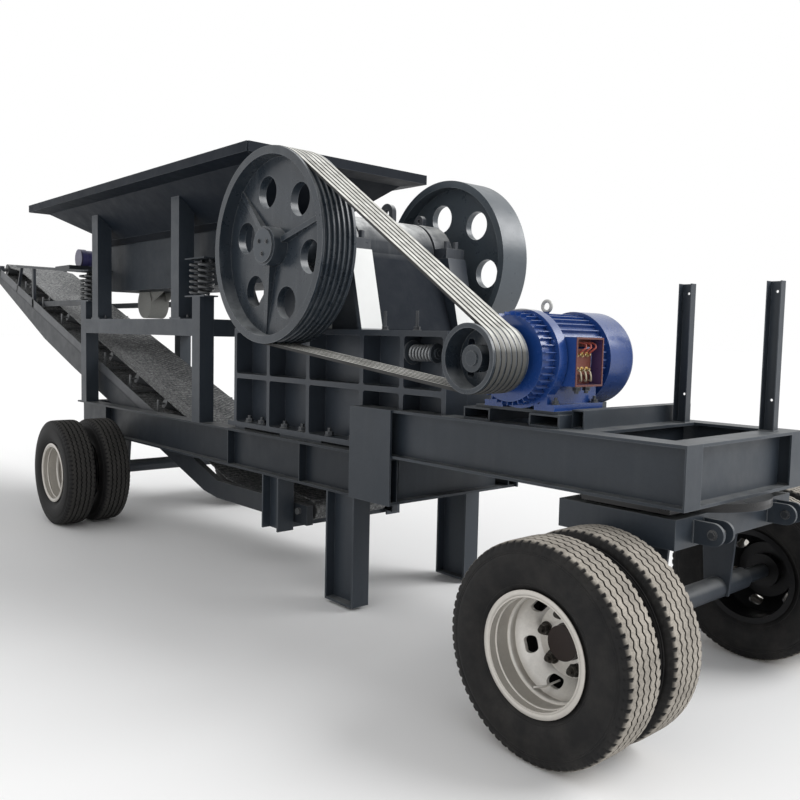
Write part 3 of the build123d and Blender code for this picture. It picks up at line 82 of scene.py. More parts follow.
camera = linked("camera", bpy.data.cameras.new("camera"))
camera.data.sensor_width = sensor_width
camera.data.lens = sensor_width * focal_pixels / frame_pixels
camera.rotation_mode = "QUATERNION"
camera_matrix = Matrix(camera_axes(camera_turn, camera_dip, camera_roll)).transposed()
camera.rotation_quaternion = camera_matrix.to_quaternion()
camera.location = (front_x + camera_ahead, camera_y, camera_z)
bpy.context.scene.camera = camera
bpy.context.scene.view_settings.view_transform = "Standard"


# A plain pale floor under an even white sky, with one broad soft lamp.
# The sky shows as white, and lights the plant at a lower level.
floor_size = 300.0
floor_grey = (0.9, 0.9, 0.9, 1.0)
sky_level = 0.72
lamp_strength = 2.2
lamp_spread = 38.0
lamp_direction = Vector((-0.52, -0.60, -0.61))


def feed(tree, value, socket):
    """Gives an input a plain value, or a link where the value is another node's output."""
    if hasattr(value, "is_output"):
        tree.links.new(value, socket)
    else:
        socket.default_value = value


def node(tree, kind, **values):
    """Adds a node; each value is one of its properties or goes to one of its inputs."""
    made = tree.nodes.new(kind)
    for name, value in values.items():
        if hasattr(made, name):
            setattr(made, name, value)
        else:
            feed(tree, value, made.inputs[name.replace("_", " ")])
    return made


def math_node(tree, operation, first, second=None, clamp=False):
    """A Math node with each input a number or a socket; returns its output."""
    made = node(tree, "ShaderNodeMath", operation=operation, use_clamp=clamp)
    feed(tree, first, made.inputs[0])
    if second is not None:
        feed(tree, second, made.inputs[1])
    return made.outputs[0]


def times(tree, first, second, clamp=False):
    return math_node(tree, "MULTIPLY", first, second, clamp)


def new_material(name, **constants):
    """A material, its tree and its shader, with these constants on the shader's own sockets."""
    material = bpy.data.materials.new(name)
    material.use_nodes = True
    shader = material.node_tree.nodes["Principled BSDF"]
    for label, value in constants.items():
        shader.inputs[label.replace("_", " ")].default_value = value
    return material, material.node_tree, shader


def make_sky():
    world = bpy.data.worlds.new("sky")
    world.use_nodes = True
    tree = world.node_tree
    path = node(tree, "ShaderNodeLightPath")
    seen = math_node(tree, "MAXIMUM", path.outputs["Is Camera Ray"], path.outputs["Is Glossy Ray"])
    seen = math_node(tree, "MAXIMUM", seen, path.outputs["Is Transmission Ray"])
    level = times(tree, seen, 1.0 - sky_level)
    level = math_node(tree, "ADD", level, sky_level)
    background = tree.nodes["Background"]
    background.inputs["Color"].default_value = (1.0, 1.0, 1.0, 1.0)
    tree.links.new(level, background.inputs["Strength"])
    bpy.context.scene.world = world


def make_floor():
    half = floor_size / 2
    corners = [(-half, -half, 0), (half, -half, 0), (half, half, 0), (-half, half, 0)]
    mesh = bpy.data.meshes.new("floor")
    mesh.from_pydata(corners, [], [(0, 1, 2, 3)])
    paint = new_material("pale_floor", Base_Color=floor_grey, Roughness=0.9, Specular_IOR_Level=0.1)[0]
    mesh.materials.append(paint)
    linked("floor", mesh)


def make_lamp():
    lamp = linked("lamp", bpy.data.lights.new("lamp", "SUN"))
    lamp.data.energy = lamp_strength
    lamp.data.angle = math.radians(lamp_spread)
    lamp.rotation_mode = "QUATERNION"
    lamp.rotation_quaternion = lamp_direction.to_track_quat("-Z", "Y")


make_sky()
make_floor()
make_lamp()


# Chassis: rolled beams welded end to end, with cross beams, splice plates, legs and two upright channels.
# All of it is slate satin paint over steel, dusty on top, and lighter at the edges: partly rubbed wear and
# partly painted edge highlight.
slate = (0.027, 0.035, 0.046)
# The worn colours go on the edges, as rubbed paint and also as painted edge highlight.
worn_and_highlit_slate = (0.14, 0.155, 0.17)
site_dust = (0.235, 0.24, 0.235)
bare_steel_and_highlight = (0.3, 0.3, 0.3)


def noise(tree, place, scale, detail=4.0, rough=0.55):
    made = node(tree, "ShaderNodeTexNoise", Scale=scale, Detail=detail, Roughness=rough, Vector=place)
    return made.outputs["Fac"]


def remap(tree, value, low, high, low_to=0.0, high_to=1.0):
    made = node(
        tree, "ShaderNodeMapRange", Value=value, From_Min=low, From_Max=high, To_Min=low_to, To_Max=high_to
    )
    return made.outputs["Result"]


def mix_colours(tree, amount, first, second, blend="MIX"):
    made = node(tree, "ShaderNodeMix", data_type="RGBA", blend_type=blend)
    for index, value in ((0, amount), (6, first), (7, second)):
        feed(tree, value, made.inputs[index])
    return made.outputs[2]


def object_place(tree):
    """The place on the piece, in its own coordinates."""
    return node(tree, "ShaderNodeTexCoord").outputs["Object"]


def stretched(tree, place, scale):
    """The place with a scale for each axis, for a pattern that runs one way."""
    return node(tree, "ShaderNodeMapping", Scale=scale, Vector=place).outputs["Vector"]


def one_axis(tree, vector, axis):
    return node(tree, "ShaderNodeSeparateXYZ", Vector=vector).outputs[axis]


def axis_value(tree, axis):
    """One object coordinate, X, Y or Z."""
    return one_axis(tree, object_place(tree), axis)


def facing_value(tree, axis):
    """How far the surface faces along one axis."""
    return one_axis(tree, node(tree, "ShaderNodeNewGeometry").outputs["Normal"], axis)


def cover(tree, shader, colour, rough, height, strength, distance):
    """Gives a shader its colour and roughness, and relief of this strength from a height mask."""
    bump = node(tree, "ShaderNodeBump", Strength=strength, Distance=distance, Height=height)
    feed(tree, colour, shader.inputs["Base Color"])
    feed(tree, rough, shader.inputs["Roughness"])
    feed(tree, bump.outputs["Normal"], shader.inputs["Normal"])


def weathering_group():
    """The group with its named inputs and outputs, still empty."""
    group = bpy.data.node_groups.new("site_weathering", "ShaderNodeTree")
    for label, kind, value in (
        ("Base", "Color", (*slate, 1.0)),
        ("Worn", "Color", (*worn_and_highlit_slate, 1.0)),
        ("Dust", "Color", (*site_dust, 1.0)),
        ("Dust Amount", "Float", 0.6),
        ("Edge Amount", "Float", 0.6),
        ("Roughness", "Float", 0.42),
    ):
        socket = group.interface.new_socket(label, in_out="INPUT", socket_type="NodeSocket" + kind)
        socket.default_value = value
    for label, kind in (("Color", "Color"), ("Roughness", "Float"), ("Height", "Float")):
        group.interface.new_socket(label, in_out="OUTPUT", socket_type="NodeSocket" + kind)
    return group


def make_weathering():
    """Dust on upward faces, lighter edges that are partly rubbed wear and partly painted edge highlight, rain
    streaks and mottling over a base colour.
    """
    group = weathering_group()
    given = node(group, "NodeGroupInput").outputs
    place = object_place(group)
    clouds = noise(group, place, 1.7)
    grit = noise(group, place, 60.0, 5.0, 0.7)
    patches = noise(group, place, 9.0, 5.0, 0.65)
    streaks = noise(group, stretched(group, place, (16.0, 16.0, 1.1)), 1.0, 3.0)
    normal = node(group, "ShaderNodeNewGeometry").outputs["Normal"]
    on_top = remap(group, one_axis(group, normal, "Z"), 0.3, 0.95)
    dust = times(group, on_top, remap(group, patches, 0.32, 0.62, 0.25, 1.0))
    dust = math_node(group, "ADD", dust, remap(group, streaks, 0.5, 0.8, 0.0, 0.07), clamp=True)
    dust = times(group, dust, given["Dust Amount"], clamp=True)
    # Edge mask: the edges take the lighter worn colour, partly rubbed wear and partly painted edge highlight.
    rounded = node(group, "ShaderNodeBevel", samples=4, Radius=0.007)
    turn = node(group, "ShaderNodeVectorMath", operation="DOT_PRODUCT")
    group.links.new(rounded.outputs["Normal"], turn.inputs[0])
    group.links.new(normal, turn.inputs[1])
    edge = remap(group, turn.outputs["Value"], 0.985, 0.8)
    edge = times(group, edge, remap(group, patches, 0.38, 0.6, 0.2, 1.0))
    edge = times(group, edge, given["Edge Amount"], clamp=True)
    shade = remap(group, clouds, 0.3, 0.7, 0.86, 1.14)
    shade = times(group, shade, remap(group, grit, 0.3, 0.7, 0.93, 1.07))
    tone = node(group, "ShaderNodeCombineColor", Red=shade, Green=shade, Blue=shade)
    paint = mix_colours(group, 1.0, given["Base"], tone.outputs["Color"], "MULTIPLY")
    paint = mix_colours(group, dust, paint, given["Dust"])
    paint = mix_colours(group, edge, paint, given["Worn"])
    rough = math_node(group, "ADD", times(group, dust, 0.4), given["Roughness"])
    rough = math_node(group, "ADD", rough, remap(group, patches, 0.3, 0.7, -0.06, 0.08), clamp=True)
    height = math_node(group, "ADD", times(group, grit, 0.5), patches)
    node(group, "NodeGroupOutput", Color=paint, Roughness=rough, Height=height)
    return group


weathering = make_weathering()


def weathered(name, base, worn, **finish):
    """A material whose colour and roughness come from the weathering group.

    The finish may give dust, dust_colour, edges, rough, metallic, relief, coat and specular.
    """
    material, tree, shader = new_material(
        name,
        Metallic=finish.get("metallic", 0.0),
        Specular_IOR_Level=finish.get("specular", 0.4),
        Coat_Weight=finish.get("coat", 0.0),
        Coat_Roughness=0.25,
    )
    grime = node(
        tree,
        "ShaderNodeGroup",
        node_tree=weathering,
        Base=(*base, 1.0),
        Worn=(*worn, 1.0),
        Dust=(*finish.get("dust_colour", site_dust), 1.0),
        Dust_Amount=finish.get("dust", 0.5),
        Edge_Amount=finish.get("edges", 0.6),
        Roughness=finish.get("rough", 0.4),
    )
    cover(tree, shader, *grime.outputs, 0.5, finish.get("relief", 0.0006))
    return material


def repaint(material, mask, colour):
    """Blends a second colour into a weathered material where the mask is 1."""
    tree = material.node_tree
    shader = tree.nodes["Principled BSDF"]
    under = shader.inputs["Base Color"].links[0].from_socket
    mixed = mix_colours(tree, mask(tree), under, (*colour, 1.0))
    tree.links.new(mixed, shader.inputs["Base Color"])


def past(axis, start, end, amount=1.0):
    """A mask for repaint that rises to the amount between two places along an axis."""
    return lambda tree: remap(tree, axis_value(tree, axis), start, end, 0.0, amount)


def dress(material, *names):
    """Gives CAD nodes their finished material."""
    for name in names:
        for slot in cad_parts[name].material_slots:
            slot.material = material


frame_paint = weathered("frame_paint", slate, worn_and_highlit_slate)
dress(frame_paint, "upper_beams", "cross_beams", "splice_plates")
dress(frame_paint, "support_legs", "tail_hanger", "front_posts")
lower_paint = weathered("lower_paint", (0.016, 0.021, 0.028), worn_and_highlit_slate, dust=0.45, specular=0.25)
dress(lower_paint, "lower_beams")
dark_steel = weathered("dark_steel", (0.05, 0.055, 0.062), bare_steel_and_highlight, dust=0.7, rough=0.38, metallic=0.55)


def mount(piece, body):
    """Puts a piece on its body."""
    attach(piece, body)
    return piece


def smoothed(piece, crease=None):
    """Smooth shading, with edges sharper than the crease in degrees kept crisp."""
    for face in piece.data.polygons:
        face.use_smooth = True
    if crease is not None:
        piece.data.set_sharp_from_angle(angle=math.radians(crease))
    return piece


def new_tree(name, **inputs):
    """A Geometry Nodes tree with a geometry input, the named inputs and a material input."""
    tree = bpy.data.node_groups.new(name, "GeometryNodeTree")
    for label, kind in {"Geometry": "Geometry", **inputs, "Material": "Material"}.items():
        tree.interface.new_socket(label.replace("_", " "), in_out="INPUT", socket_type="NodeSocket" + kind)
    tree.interface.new_socket("Geometry", in_out="OUTPUT", socket_type="NodeSocketGeometry")
    return tree, node(tree, "NodeGroupInput").outputs


def end_tree(tree, given, geometry):
    """Realizes the instances and sets the material that the tree is given."""
    realized = node(tree, "GeometryNodeRealizeInstances", Geometry=geometry).outputs["Geometry"]
    painted = node(tree, "GeometryNodeSetMaterial", Geometry=realized, Material=given["Material"])
    node(tree, "NodeGroupOutput", Geometry=painted.outputs["Geometry"])
    return tree


def instances(tree, points, shape, direction, axis="Z"):
    """The shape on every point, with its axis along the direction."""
    turn = node(tree, "FunctionNodeAlignRotationToVector", axis=axis, Vector=direction).outputs["Rotation"]
    placed = node(tree, "GeometryNodeInstanceOnPoints", Points=points, Instance=shape, Rotation=turn)
    return placed.outputs["Instances"]


def swept_bar(tree, curve, wire, sides, caps=True):
    """A round bar of the wire's radius along a curve."""
    profile = node(tree, "GeometryNodeCurvePrimitiveCircle", Resolution=sides, Radius=wire).outputs["Curve"]
    swept = node(tree, "GeometryNodeCurveToMesh", Curve=curve, Profile_Curve=profile, Fill_Caps=caps)
    return swept.outputs["Mesh"]


def grow(piece, tree, values):
    """Runs a tree on a piece with these input values and keeps the result as a plain mesh."""
    modifier = piece.modifiers.new("grow", "NODES")
    modifier.node_group = tree
    for item in tree.interface.items_tree:
        if item.in_out == "INPUT" and item.name in values:
            modifier[item.identifier] = values[item.name]
    bpy.context.view_layer.update()
    evaluated = piece.evaluated_get(bpy.context.evaluated_depsgraph_get())
    mesh = bpy.data.meshes.new_from_object(evaluated)
    piece.modifiers.clear()
    piece.data = mesh
    return piece


def bolt_tree():
    """Hexagon heads on washers, each with a stud end, all facing the Direction input."""
    tree, given = new_tree(
        "hexagon_bolts", Direction="Vector", Head_Radius="Float", Head_Height="Float", Stud_Length="Float"
    )
    radius = given["Head Radius"]
    height = given["Head Height"]
    join = node(tree, "GeometryNodeJoinGeometry")
    for sides, width, depth in (
        (6, radius, height),
        (18, times(tree, radius, 1.3), times(tree, height, 0.2)),
        (12, times(tree, radius, 0.5), given["Stud Length"]),
    ):
        cylinder = node(tree, "GeometryNodeMeshCylinder", Vertices=sides, Radius=width, Depth=depth)
        lift = node(tree, "ShaderNodeCombineXYZ", Z=times(tree, depth, 0.5)).outputs["Vector"]
        moved = node(tree, "GeometryNodeTransform", Geometry=cylinder.outputs["Mesh"], Translation=lift)
        tree.links.new(moved.outputs["Geometry"], join.inputs["Geometry"])
    placed = instances(tree, given["Geometry"], join.outputs["Geometry"], given["Direction"])
    return end_tree(tree, given, placed)


def wire_tree():
    """A round wire of the Wire input's radius along an edge path."""
    tree, given = new_tree("wire_along_path", Wire="Float")
    curve = node(tree, "GeometryNodeMeshToCurve", Mesh=given["Geometry"])
    return end_tree(tree, given, swept_bar(tree, curve.outputs["Curve"], given["Wire"], 10))


hexagon_bolts = bolt_tree()
wire_along_path = wire_tree()


def path_piece(name, points, edges=()):
    """A piece of bare points and edges, for a tree to grow on."""
    mesh = bpy.data.meshes.new(name)
    mesh.from_pydata([tuple(point) for point in points], list(edges), [])
    return linked(name, mesh)


def bolts(
    name, points, direction, radius, height, stud=0.0, body="plant", material=dark_steel
):
    """A set of hexagon heads on a flat face of the plant."""
    values = {
        "Direction": direction,
        "Head Radius": radius,
        "Head Height": height,
        "Stud Length": max(stud, height * 0.5),
        "Material": material,
    }
    mount(grow(path_piece(name, points), hexagon_bolts, values), body)


def rods(name, paths, radius, material, body="plant"):
    """Round bars along these paths: pins, welds, leads and valve stems."""
    points = []
    edges = []
    for path in paths:
        first = len(points)
        points += path
        edges += [(first + index, first + index + 1) for index in range(len(path) - 1)]
    piece = grow(path_piece(name, points, edges), wire_along_path, {"Wire": radius, "Material": material})
    mount(smoothed(piece, 50), body)


def behind(distance):
    """X of a point this far behind the front face of the chassis."""
    return front_x - distance


def box_middle(node_name):
    """The centre of a node's box."""
    return [(low + high) / 2 for low, high in zip(*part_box(node_name))]


post_backs = (0.535, 0.116)
post_width = 0.065
post_y = (0.311, 0.353)
beam_top = 1.14
weld_radius = 0.0045
weld_paint = weathered("weld_paint", (0.045, 0.053, 0.062), worn_and_highlit_slate, dust=0.8, edges=1.0, relief=0.002)


def post_welds():
    """The weld beads round the feet of the two upright channels."""
    y0, y1 = post_y
    paths = []
    for distance in post_backs:
        x0 = behind(distance)
        x1 = x0 + post_width
        paths.append([(x, y, beam_top) for x, y in ((x0, y0), (x1, y0), (x1, y1), (x0, y1), (x0, y0))])
    rods("post_welds", paths, weld_radius, weld_paint)


post_welds()


# Wheels: pairs of worn commercial tyres on dished steel rims, with one hub, six wheel nuts and a valve stem.
# The tyre is a moulded rubber casing whose tread is cut by zigzag grooves and shoulder slots.
tread_pitches = 72
steps_per_pitch = 4
tyre_steps = tread_pitches * steps_per_pitch
tyre_width = 0.218
tread_radius = 0.405
tread_depth = 0.011
groove_half = 0.0036
groove_slope = 0.001
groove_places = (-0.052, -0.018, 0.018, 0.052)
zigzag = 0.0045
zigzag_waves = (0.0, 1.0, 0.0, -1.0)
shoulder_start = 0.398
shoulder_width = 0.005
slot_depth = 0.009
slot_radii = (0.386, 0.403)
bead_and_sidewall = ((0.2095, 0.07), (0.233, 0.0835), (0.246, 0.092), (0.249, 0.0915), (0.254, 0.095))
sidewall_bulge = ((0.274, 0.1035), (0.3, 0.1085), (0.325, 0.1088), (0.345, 0.107), (0.355, 0.105))
sidewall_ribs = ((0.358, 0.1025), (0.3625, 0.103), (0.3655, 0.1), (0.37, 0.1005), (0.379, 0.098))
shoulder = ((0.386, 0.0955), (0.3945, 0.0925), (0.4, 0.088), (0.403, 0.08), (0.4035, 0.074))
rubber_black = (0.0085, 0.0083, 0.0088)


def tyre_section():
    """(radius, y, zigzag share, recess share, slotted) all round the casing."""
    side = []
    for radius, y in bead_and_sidewall + sidewall_bulge + sidewall_ribs + shoulder:
        side.append((radius, y, slot_radii[0] <= radius <= slot_radii[1]))
    section = [(radius, -y, 0.0, 0.0, slotted) for radius, y, slotted in side]
    edge = groove_half + groove_slope
    for place in groove_places:
        for offset, recess in ((-edge, 0.0), (-groove_half, 1.0), (groove_half, 1.0), (edge, 0.0)):
            section.append((tread_radius - tread_depth * recess, place + offset, 1.0, recess, False))
    return section + [(radius, y, 0.0, 0.0, slotted) for radius, y, slotted in reversed(side)]


def round_axle(angle, radius, y):
    """A point round an axle along Y."""
    return Vector((math.cos(angle) * radius, y, math.sin(angle) * radius))


def join_rings(shape, rings):
    """Faces between each ring of points and the next, all the way round."""
    for step, near in enumerate(rings):
        far = rings[(step + 1) % len(rings)]
        for index in range(len(near)):
            after = (index + 1) % len(near)
            shape.faces.new((near[index], near[after], far[after], far[index]))


def add_tyre(shape, centre):
    """Adds one tyre round an axle along Y to a bmesh."""
    section = tyre_section()
    recess_layer = shape.verts.layers.float["recess"]
    tread_layer = shape.verts.layers.float["tread"]
    rings = []
    for step in range(tyre_steps):
        angle = 2 * math.pi * step / tyre_steps
        phase = step % steps_per_pitch
        wave = zigzag_waves[phase]
        ring = []
        for radius, y, share, recess, slotted in section:
            if slotted and phase == 0:
                radius -= slot_depth
                recess = 1.0
            vertex = shape.verts.new(centre + round_axle(angle, radius, y + share * wave * zigzag))
            past_shoulder = (radius + tread_depth * recess - shoulder_start) / shoulder_width
            vertex[recess_layer] = recess
            vertex[tread_layer] = min(max(past_shoulder, 0.0), 1.0)
            ring.append(vertex)
        rings.append(ring)
    join_rings(shape, rings)


def built(name, shape, material, body):
    """Makes a bmesh a piece of one material, with its faces outwards, on its body."""
    bmesh.ops.recalc_face_normals(shape, faces=shape.faces)
    mesh = bpy.data.meshes.new(name)
    shape.to_mesh(mesh)
    shape.free()
    mesh.materials.append(material)
    return mount(linked(name, mesh), body)


def layered(tree, base, *layers):
    """Colours laid over a base, each where its mask is 1."""
    colour = (*base, 1.0)
    for mask, over in layers:
        colour = mix_colours(tree, mask, colour, (*over, 1.0))
    return colour


def tyre_material(name, tread_dust, side_dust):
    """Black rubber with dust on the tops of its tread and a thin film on its sidewalls."""
    material, tree, shader = new_material(name, Specular_IOR_Level=0.22)
    place = object_place(tree)
    patches = noise(tree, place, 9.0, 6.0, 0.65)
    grit = noise(tree, place, 120.0, 4.0, 0.7)
    tread = node(tree, "ShaderNodeAttribute", attribute_name="tread").outputs["Fac"]
    recess = node(tree, "ShaderNodeAttribute", attribute_name="recess").outputs["Fac"]
    dust = times(tree, tread, remap(tree, patches, 0.3, 0.7, 0.6, 1.0))
    dust = times(tree, dust, remap(tree, recess, 0.0, 0.3, 1.0, 0.0))
    dust = math_node(tree, "MAXIMUM", dust, remap(tree, patches, 0.4, 0.8, 0.0, side_dust))
    dust = times(tree, dust, remap(tree, grit, 0.35, 0.65, 0.72, 1.12), clamp=True)
    colour = layered(tree, rubber_black, (dust, tread_dust))
    cover(tree, shader, colour, remap(tree, dust, 0.0, 0.6, 0.58, 0.9), grit, 0.35, 0.0008)
    return material


tyre_rubber = {
    "front": tyre_material("front_tyre_rubber", (0.44, 0.405, 0.355), 0.05),
    "rear": tyre_material("rear_tyre_rubber", (0.055, 0.053, 0.05), 0.15),
}
nut_steel = weathered(
    "nut_steel", (0.022, 0.019, 0.016), (0.12, 0.10, 0.08), dust=0.3, edges=0.5, rough=0.4, metallic=0.3
)
silver = (0.72, 0.70, 0.665)
barrel_brown = (0.42, 0.385, 0.335)
hub_brown = (0.028, 0.020, 0.018)
inner_wheel_shade_black = (0.012, 0.012, 0.013)
barrel_start = 0.185
rim_inner_radius = 0.201
hub_cap_radius = 0.068


def rim_material(name, centre, outward, mate_y):
    """Silver paint, brownish in the barrel, with a greasy hub cap, and the inner wheel of the pair near black
    as painted shade.
    """
    paint = weathered(
        "rim_silver_" + name,
        silver,
        (0.3, 0.27, 0.23),
        dust=0.3,
        edges=0.3,
        rough=0.34,
        metallic=0.5,
        relief=0.001,
    )

    def away_from_axle(tree):
        squares = []
        for axis, middle in (("X", centre.x), ("Z", centre.z)):
            offset = math_node(tree, "SUBTRACT", axis_value(tree, axis), middle)
            squares.append(times(tree, offset, offset))
        return math_node(tree, "SQRT", math_node(tree, "ADD", *squares))

    def ring_mask(start, end, amount=1.0):
        return lambda tree: remap(tree, away_from_axle(tree), start, end, 0.0, amount)

    # 1 on the inner wheel of the pair, which is painted near black as painted shade between the two wheels.
    def inside(tree):
        depth = times(tree, axis_value(tree, "Y"), outward)
        return remap(tree, depth, mate_y + 0.001, mate_y - 0.001)

    repaint(paint, ring_mask(barrel_start, rim_inner_radius, 0.5), barrel_brown)
    repaint(paint, ring_mask(hub_cap_radius + 0.002, hub_cap_radius), hub_brown)
    repaint(paint, inside, inner_wheel_shade_black)
    return paint


def circle_points(centre, radius, count, start):
    """Points round an axle along Y, the first at this angle in degrees."""
    angles = [math.radians(start + 360 / count * index) for index in range(count)]
    return [centre + round_axle(angle, radius, 0) for angle in angles]


outer_tyre_y = 0.942
rim_edge = 0.091
ring_steps = 96
rim_lip = ((0.2065, 0.0), (0.2085, 0.0035), (0.214, 0.0055), (0.222, 0.0055), (0.2275, 0.0025), (0.2278, 0.0))
barrel_ring = ((0.2015, -0.030), (0.1975, -0.032), (0.1965, -0.036), (0.1975, -0.040), (0.2015, -0.042))
deep_ring = ((0.2015, -0.098), (0.1930, -0.102), (0.1905, -0.110), (0.1925, -0.120), (0.2015, -0.124))


def rim_rings(wheel, centre, outward, paint):
    """The rolled lip of the outer rim and the two pressed steps in its barrel."""
    edge = outward * (outer_tyre_y + rim_edge)
    shape = bmesh.new()
    for section in (rim_lip, barrel_ring, deep_ring):
        rings = []
        for step in range(ring_steps):
            angle = 2 * math.pi * step / ring_steps
            places = [round_axle(angle, radius, edge + outward * height) for radius, height in section]
            rings.append([shape.verts.new(centre + place) for place in places])
        join_rings(shape, rings)
    smoothed(built(wheel + "_rim_rings", shape, paint, wheel + "_wheels"), 50.0)


disc_face = 0.012
nut_circle = 0.105
nut_start = 49.0
nut_count = 6
valve_root = (-0.03, 0.02, -0.158)
valve_bends = ((0.0, 0.0, 0.0), (-0.008, 0.075, -0.006), (-0.04, 0.105, -0.012))


def make_wheel(wheel):
    """Tyres, nuts and valve stem of one dual wheel, on that wheel's own body."""
    body = wheel + "_wheels"
    low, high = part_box(wheel + "_tyres")
    x, middle, z = box_middle(wheel + "_tyres")
    centre = Vector((x, 0, z))
    outward = -1 if wheel.endswith("right") else 1
    shape = bmesh.new()
    for layer in ("recess", "tread"):
        shape.verts.layers.float.new(layer)
    for y in (low[1] + tyre_width / 2, high[1] - tyre_width / 2):
        add_tyre(shape, centre + Vector((0, y, 0)))
    tyres = built(wheel + "_tread_tyres", shape, tyre_rubber[wheel.split("_")[0]], body)
    smoothed(tyres, 40.0)
    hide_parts(wheel + "_tyres")
    paint = rim_material(wheel, centre, outward, abs(middle))
    dress(paint, wheel + "_rims")
    rim_rings(wheel, centre, outward, paint)
    disc = centre + Vector((0, middle + outward * disc_face, 0))
    nuts = circle_points(disc, nut_circle, nut_count, nut_start)
    bolts(wheel + "_wheel_nuts", nuts, (0, outward, 0), 0.0205, 0.03, 0.045, body, material=nut_steel)
    start = centre + Vector((valve_root[0], middle + outward * valve_root[1], valve_root[2]))
    path = [start + Vector((x, outward * y, z)) for x, y, z in valve_bends]
    rods(wheel + "_valve", [path], 0.0045, paint, body)


for wheel_name in ("front_right", "front_left", "rear_right", "rear_left"):
    make_wheel(wheel_name)


# Axles and steering bogie: welded plate box with a greased turntable disc, draw lugs and round axle tubes.
# They have the chassis paint, a little dustier.
axle_paint = weathered("axle_paint", (0.034, 0.041, 0.052), worn_and_highlit_slate, dust=0.6)
dress(axle_paint, "rear_axle", "front_axle")
bogie_paint = weathered("bogie_paint", slate, worn_and_highlit_slate, dust=0.6)
grease_black = (0.006, 0.006, 0.007)
bogie_top = 0.854
repaint(bogie_paint, past("Z", bogie_top + 0.001, bogie_top + 0.002), grease_black)
dress(bogie_paint, "bogie_frame")
grease = weathered("turntable_grease", grease_black, (0.03, 0.03, 0.03), dust=0.2, rough=0.3)
dress(grease, "turntable_plate")
bogie_front = behind(0.040)
lug_bore_x = bogie_front + 0.080
lug_bore_z = 0.795
lug_weld_heights = (0.752, 0.838)
lug_y = 0.312
lug_half = 0.045
lug_thickness = 0.014


def lug_pins():
    """A pin with a hexagon head through each pair of draw lugs, and the welds at the lugs' roots."""
    pins = []
    heads = []
    welds = []
    for side in (-1, 1):
        middle = side * lug_y
        ends = [(lug_bore_x, middle + offset, lug_bore_z) for offset in (-lug_half, lug_half)]
        pins.append(ends)
        heads.append(ends[0])
        for offset in (-lug_half, -lug_half + lug_thickness, lug_half - lug_thickness, lug_half):
            welds.append([(bogie_front + 0.001, middle + offset, z) for z in lug_weld_heights])
    rods("lug_pins", pins, 0.0085, dark_steel, "bogie")
    bolts("lug_pin_heads", heads, (0, -1, 0), 0.016, 0.012, body="bogie")
    rods("lug_welds", welds, weld_radius, weld_paint, "bogie")


lug_pins()


# Crusher body: thick welded plate with ribs, bolted down to the beams, with jaw plates and toggle inside.
# Bolts stand on the base flanges, and two studs stand on each top flange.
crusher_paint = weathered("crusher_paint", (0.036, 0.045, 0.058), worn_and_highlit_slate, dust=0.45, rough=0.38)
top_flange_z = 1.55
far_pedestal_shadow_band = (1.72, 1.78)
# Near white: the painted highlight on the pedestal fronts, and the dust with painted highlight on the
# barrel's top.
highlight_and_dust_pale = (0.80, 0.81, 0.80)


def pedestal_highlight(tree):
    """1 on the sloping fronts of the bearing pedestals, painted near white as a painted highlight, except the
    upper part of the far one, left dark as painted shadow.
    """
    height = axis_value(tree, "Z")
    ahead = remap(tree, facing_value(tree, "X"), 0.7, 0.8)
    above = remap(tree, height, top_flange_z + 0.001, top_flange_z + 0.012)
    left = remap(tree, axis_value(tree, "Y"), 0.0, 0.1)
    high = remap(tree, height, *far_pedestal_shadow_band)
    # 0 on the far pedestal's upper part, which keeps the dark paint as painted shadow.
    bare = math_node(tree, "SUBTRACT", 1.0, times(tree, left, high))
    return times(tree, times(tree, ahead, above), bare)


wall_paint = weathered("wall_paint", (0.030, 0.038, 0.050), worn_and_highlit_slate, dust=0.3, rough=0.4)
# The pedestal fronts are painted near white as a painted highlight.
repaint(wall_paint, pedestal_highlight, highlight_and_dust_pale)
dress(wall_paint, "side_wall_right", "side_wall_left")
dress(crusher_paint, "back_wall", "toggle_block")
jaw_steel = weathered(
    "jaw_steel", (0.2, 0.19, 0.175), (0.42, 0.42, 0.42), dust=0.5, rough=0.5, metallic=0.6, relief=0.002
)
dress(jaw_steel, "jaw_plates", "swing_jaw_plate", "toggle_plate")
cast_edge_wear_and_highlight = (0.4, 0.4, 0.4)
cap_casting = weathered(
    "dusty_casting",
    (0.032, 0.038, 0.048),
    cast_edge_wear_and_highlight,
    dust_colour=(0.62, 0.63, 0.62),
    dust=0.95,
    rough=0.3,
    relief=0.0015,
    specular=0.6,
)
dress(cap_casting, "bearing_caps")
# Pale dust on its upward faces, which also stands as a painted highlight on the barrel's top.
jaw_casting = weathered(
    "jaw_casting",
    (0.05, 0.055, 0.062),
    cast_edge_wear_and_highlight,
    dust_colour=highlight_and_dust_pale,
    dust=1.0,
    rough=0.72,
    relief=0.003,
    specular=0.12,
)
barrel_bottom = 1.985
# Darker below the barrel: painted shade under it.
repaint(jaw_casting, past("Z", barrel_bottom + 0.05, barrel_bottom - 0.02), (0.016, 0.020, 0.027))
dress(jaw_casting, "swing_jaw")
bolt_line = abs(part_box("side_wall_right")[0][1]) - 0.045
base_flange_z = 0.935
stud_backs = (1.825, 1.575)
base_bolt_backs = (3.17, 3.02, 2.76, 2.57, 2.3, 2.08)


def on_flanges(distances, z):
    """Places along the flanges of both side walls."""
    return [(behind(distance), side * bolt_line, z) for distance in distances for side in (-1, 1)]


bolts("flange_studs", on_flanges(stud_backs, top_flange_z), (0, 0, 1), 0.017, 0.02, 0.1)
bolts("base_flange_bolts", on_flanges(base_bolt_backs, base_flange_z), (0, 0, 1), 0.024, 0.026, 0.045)


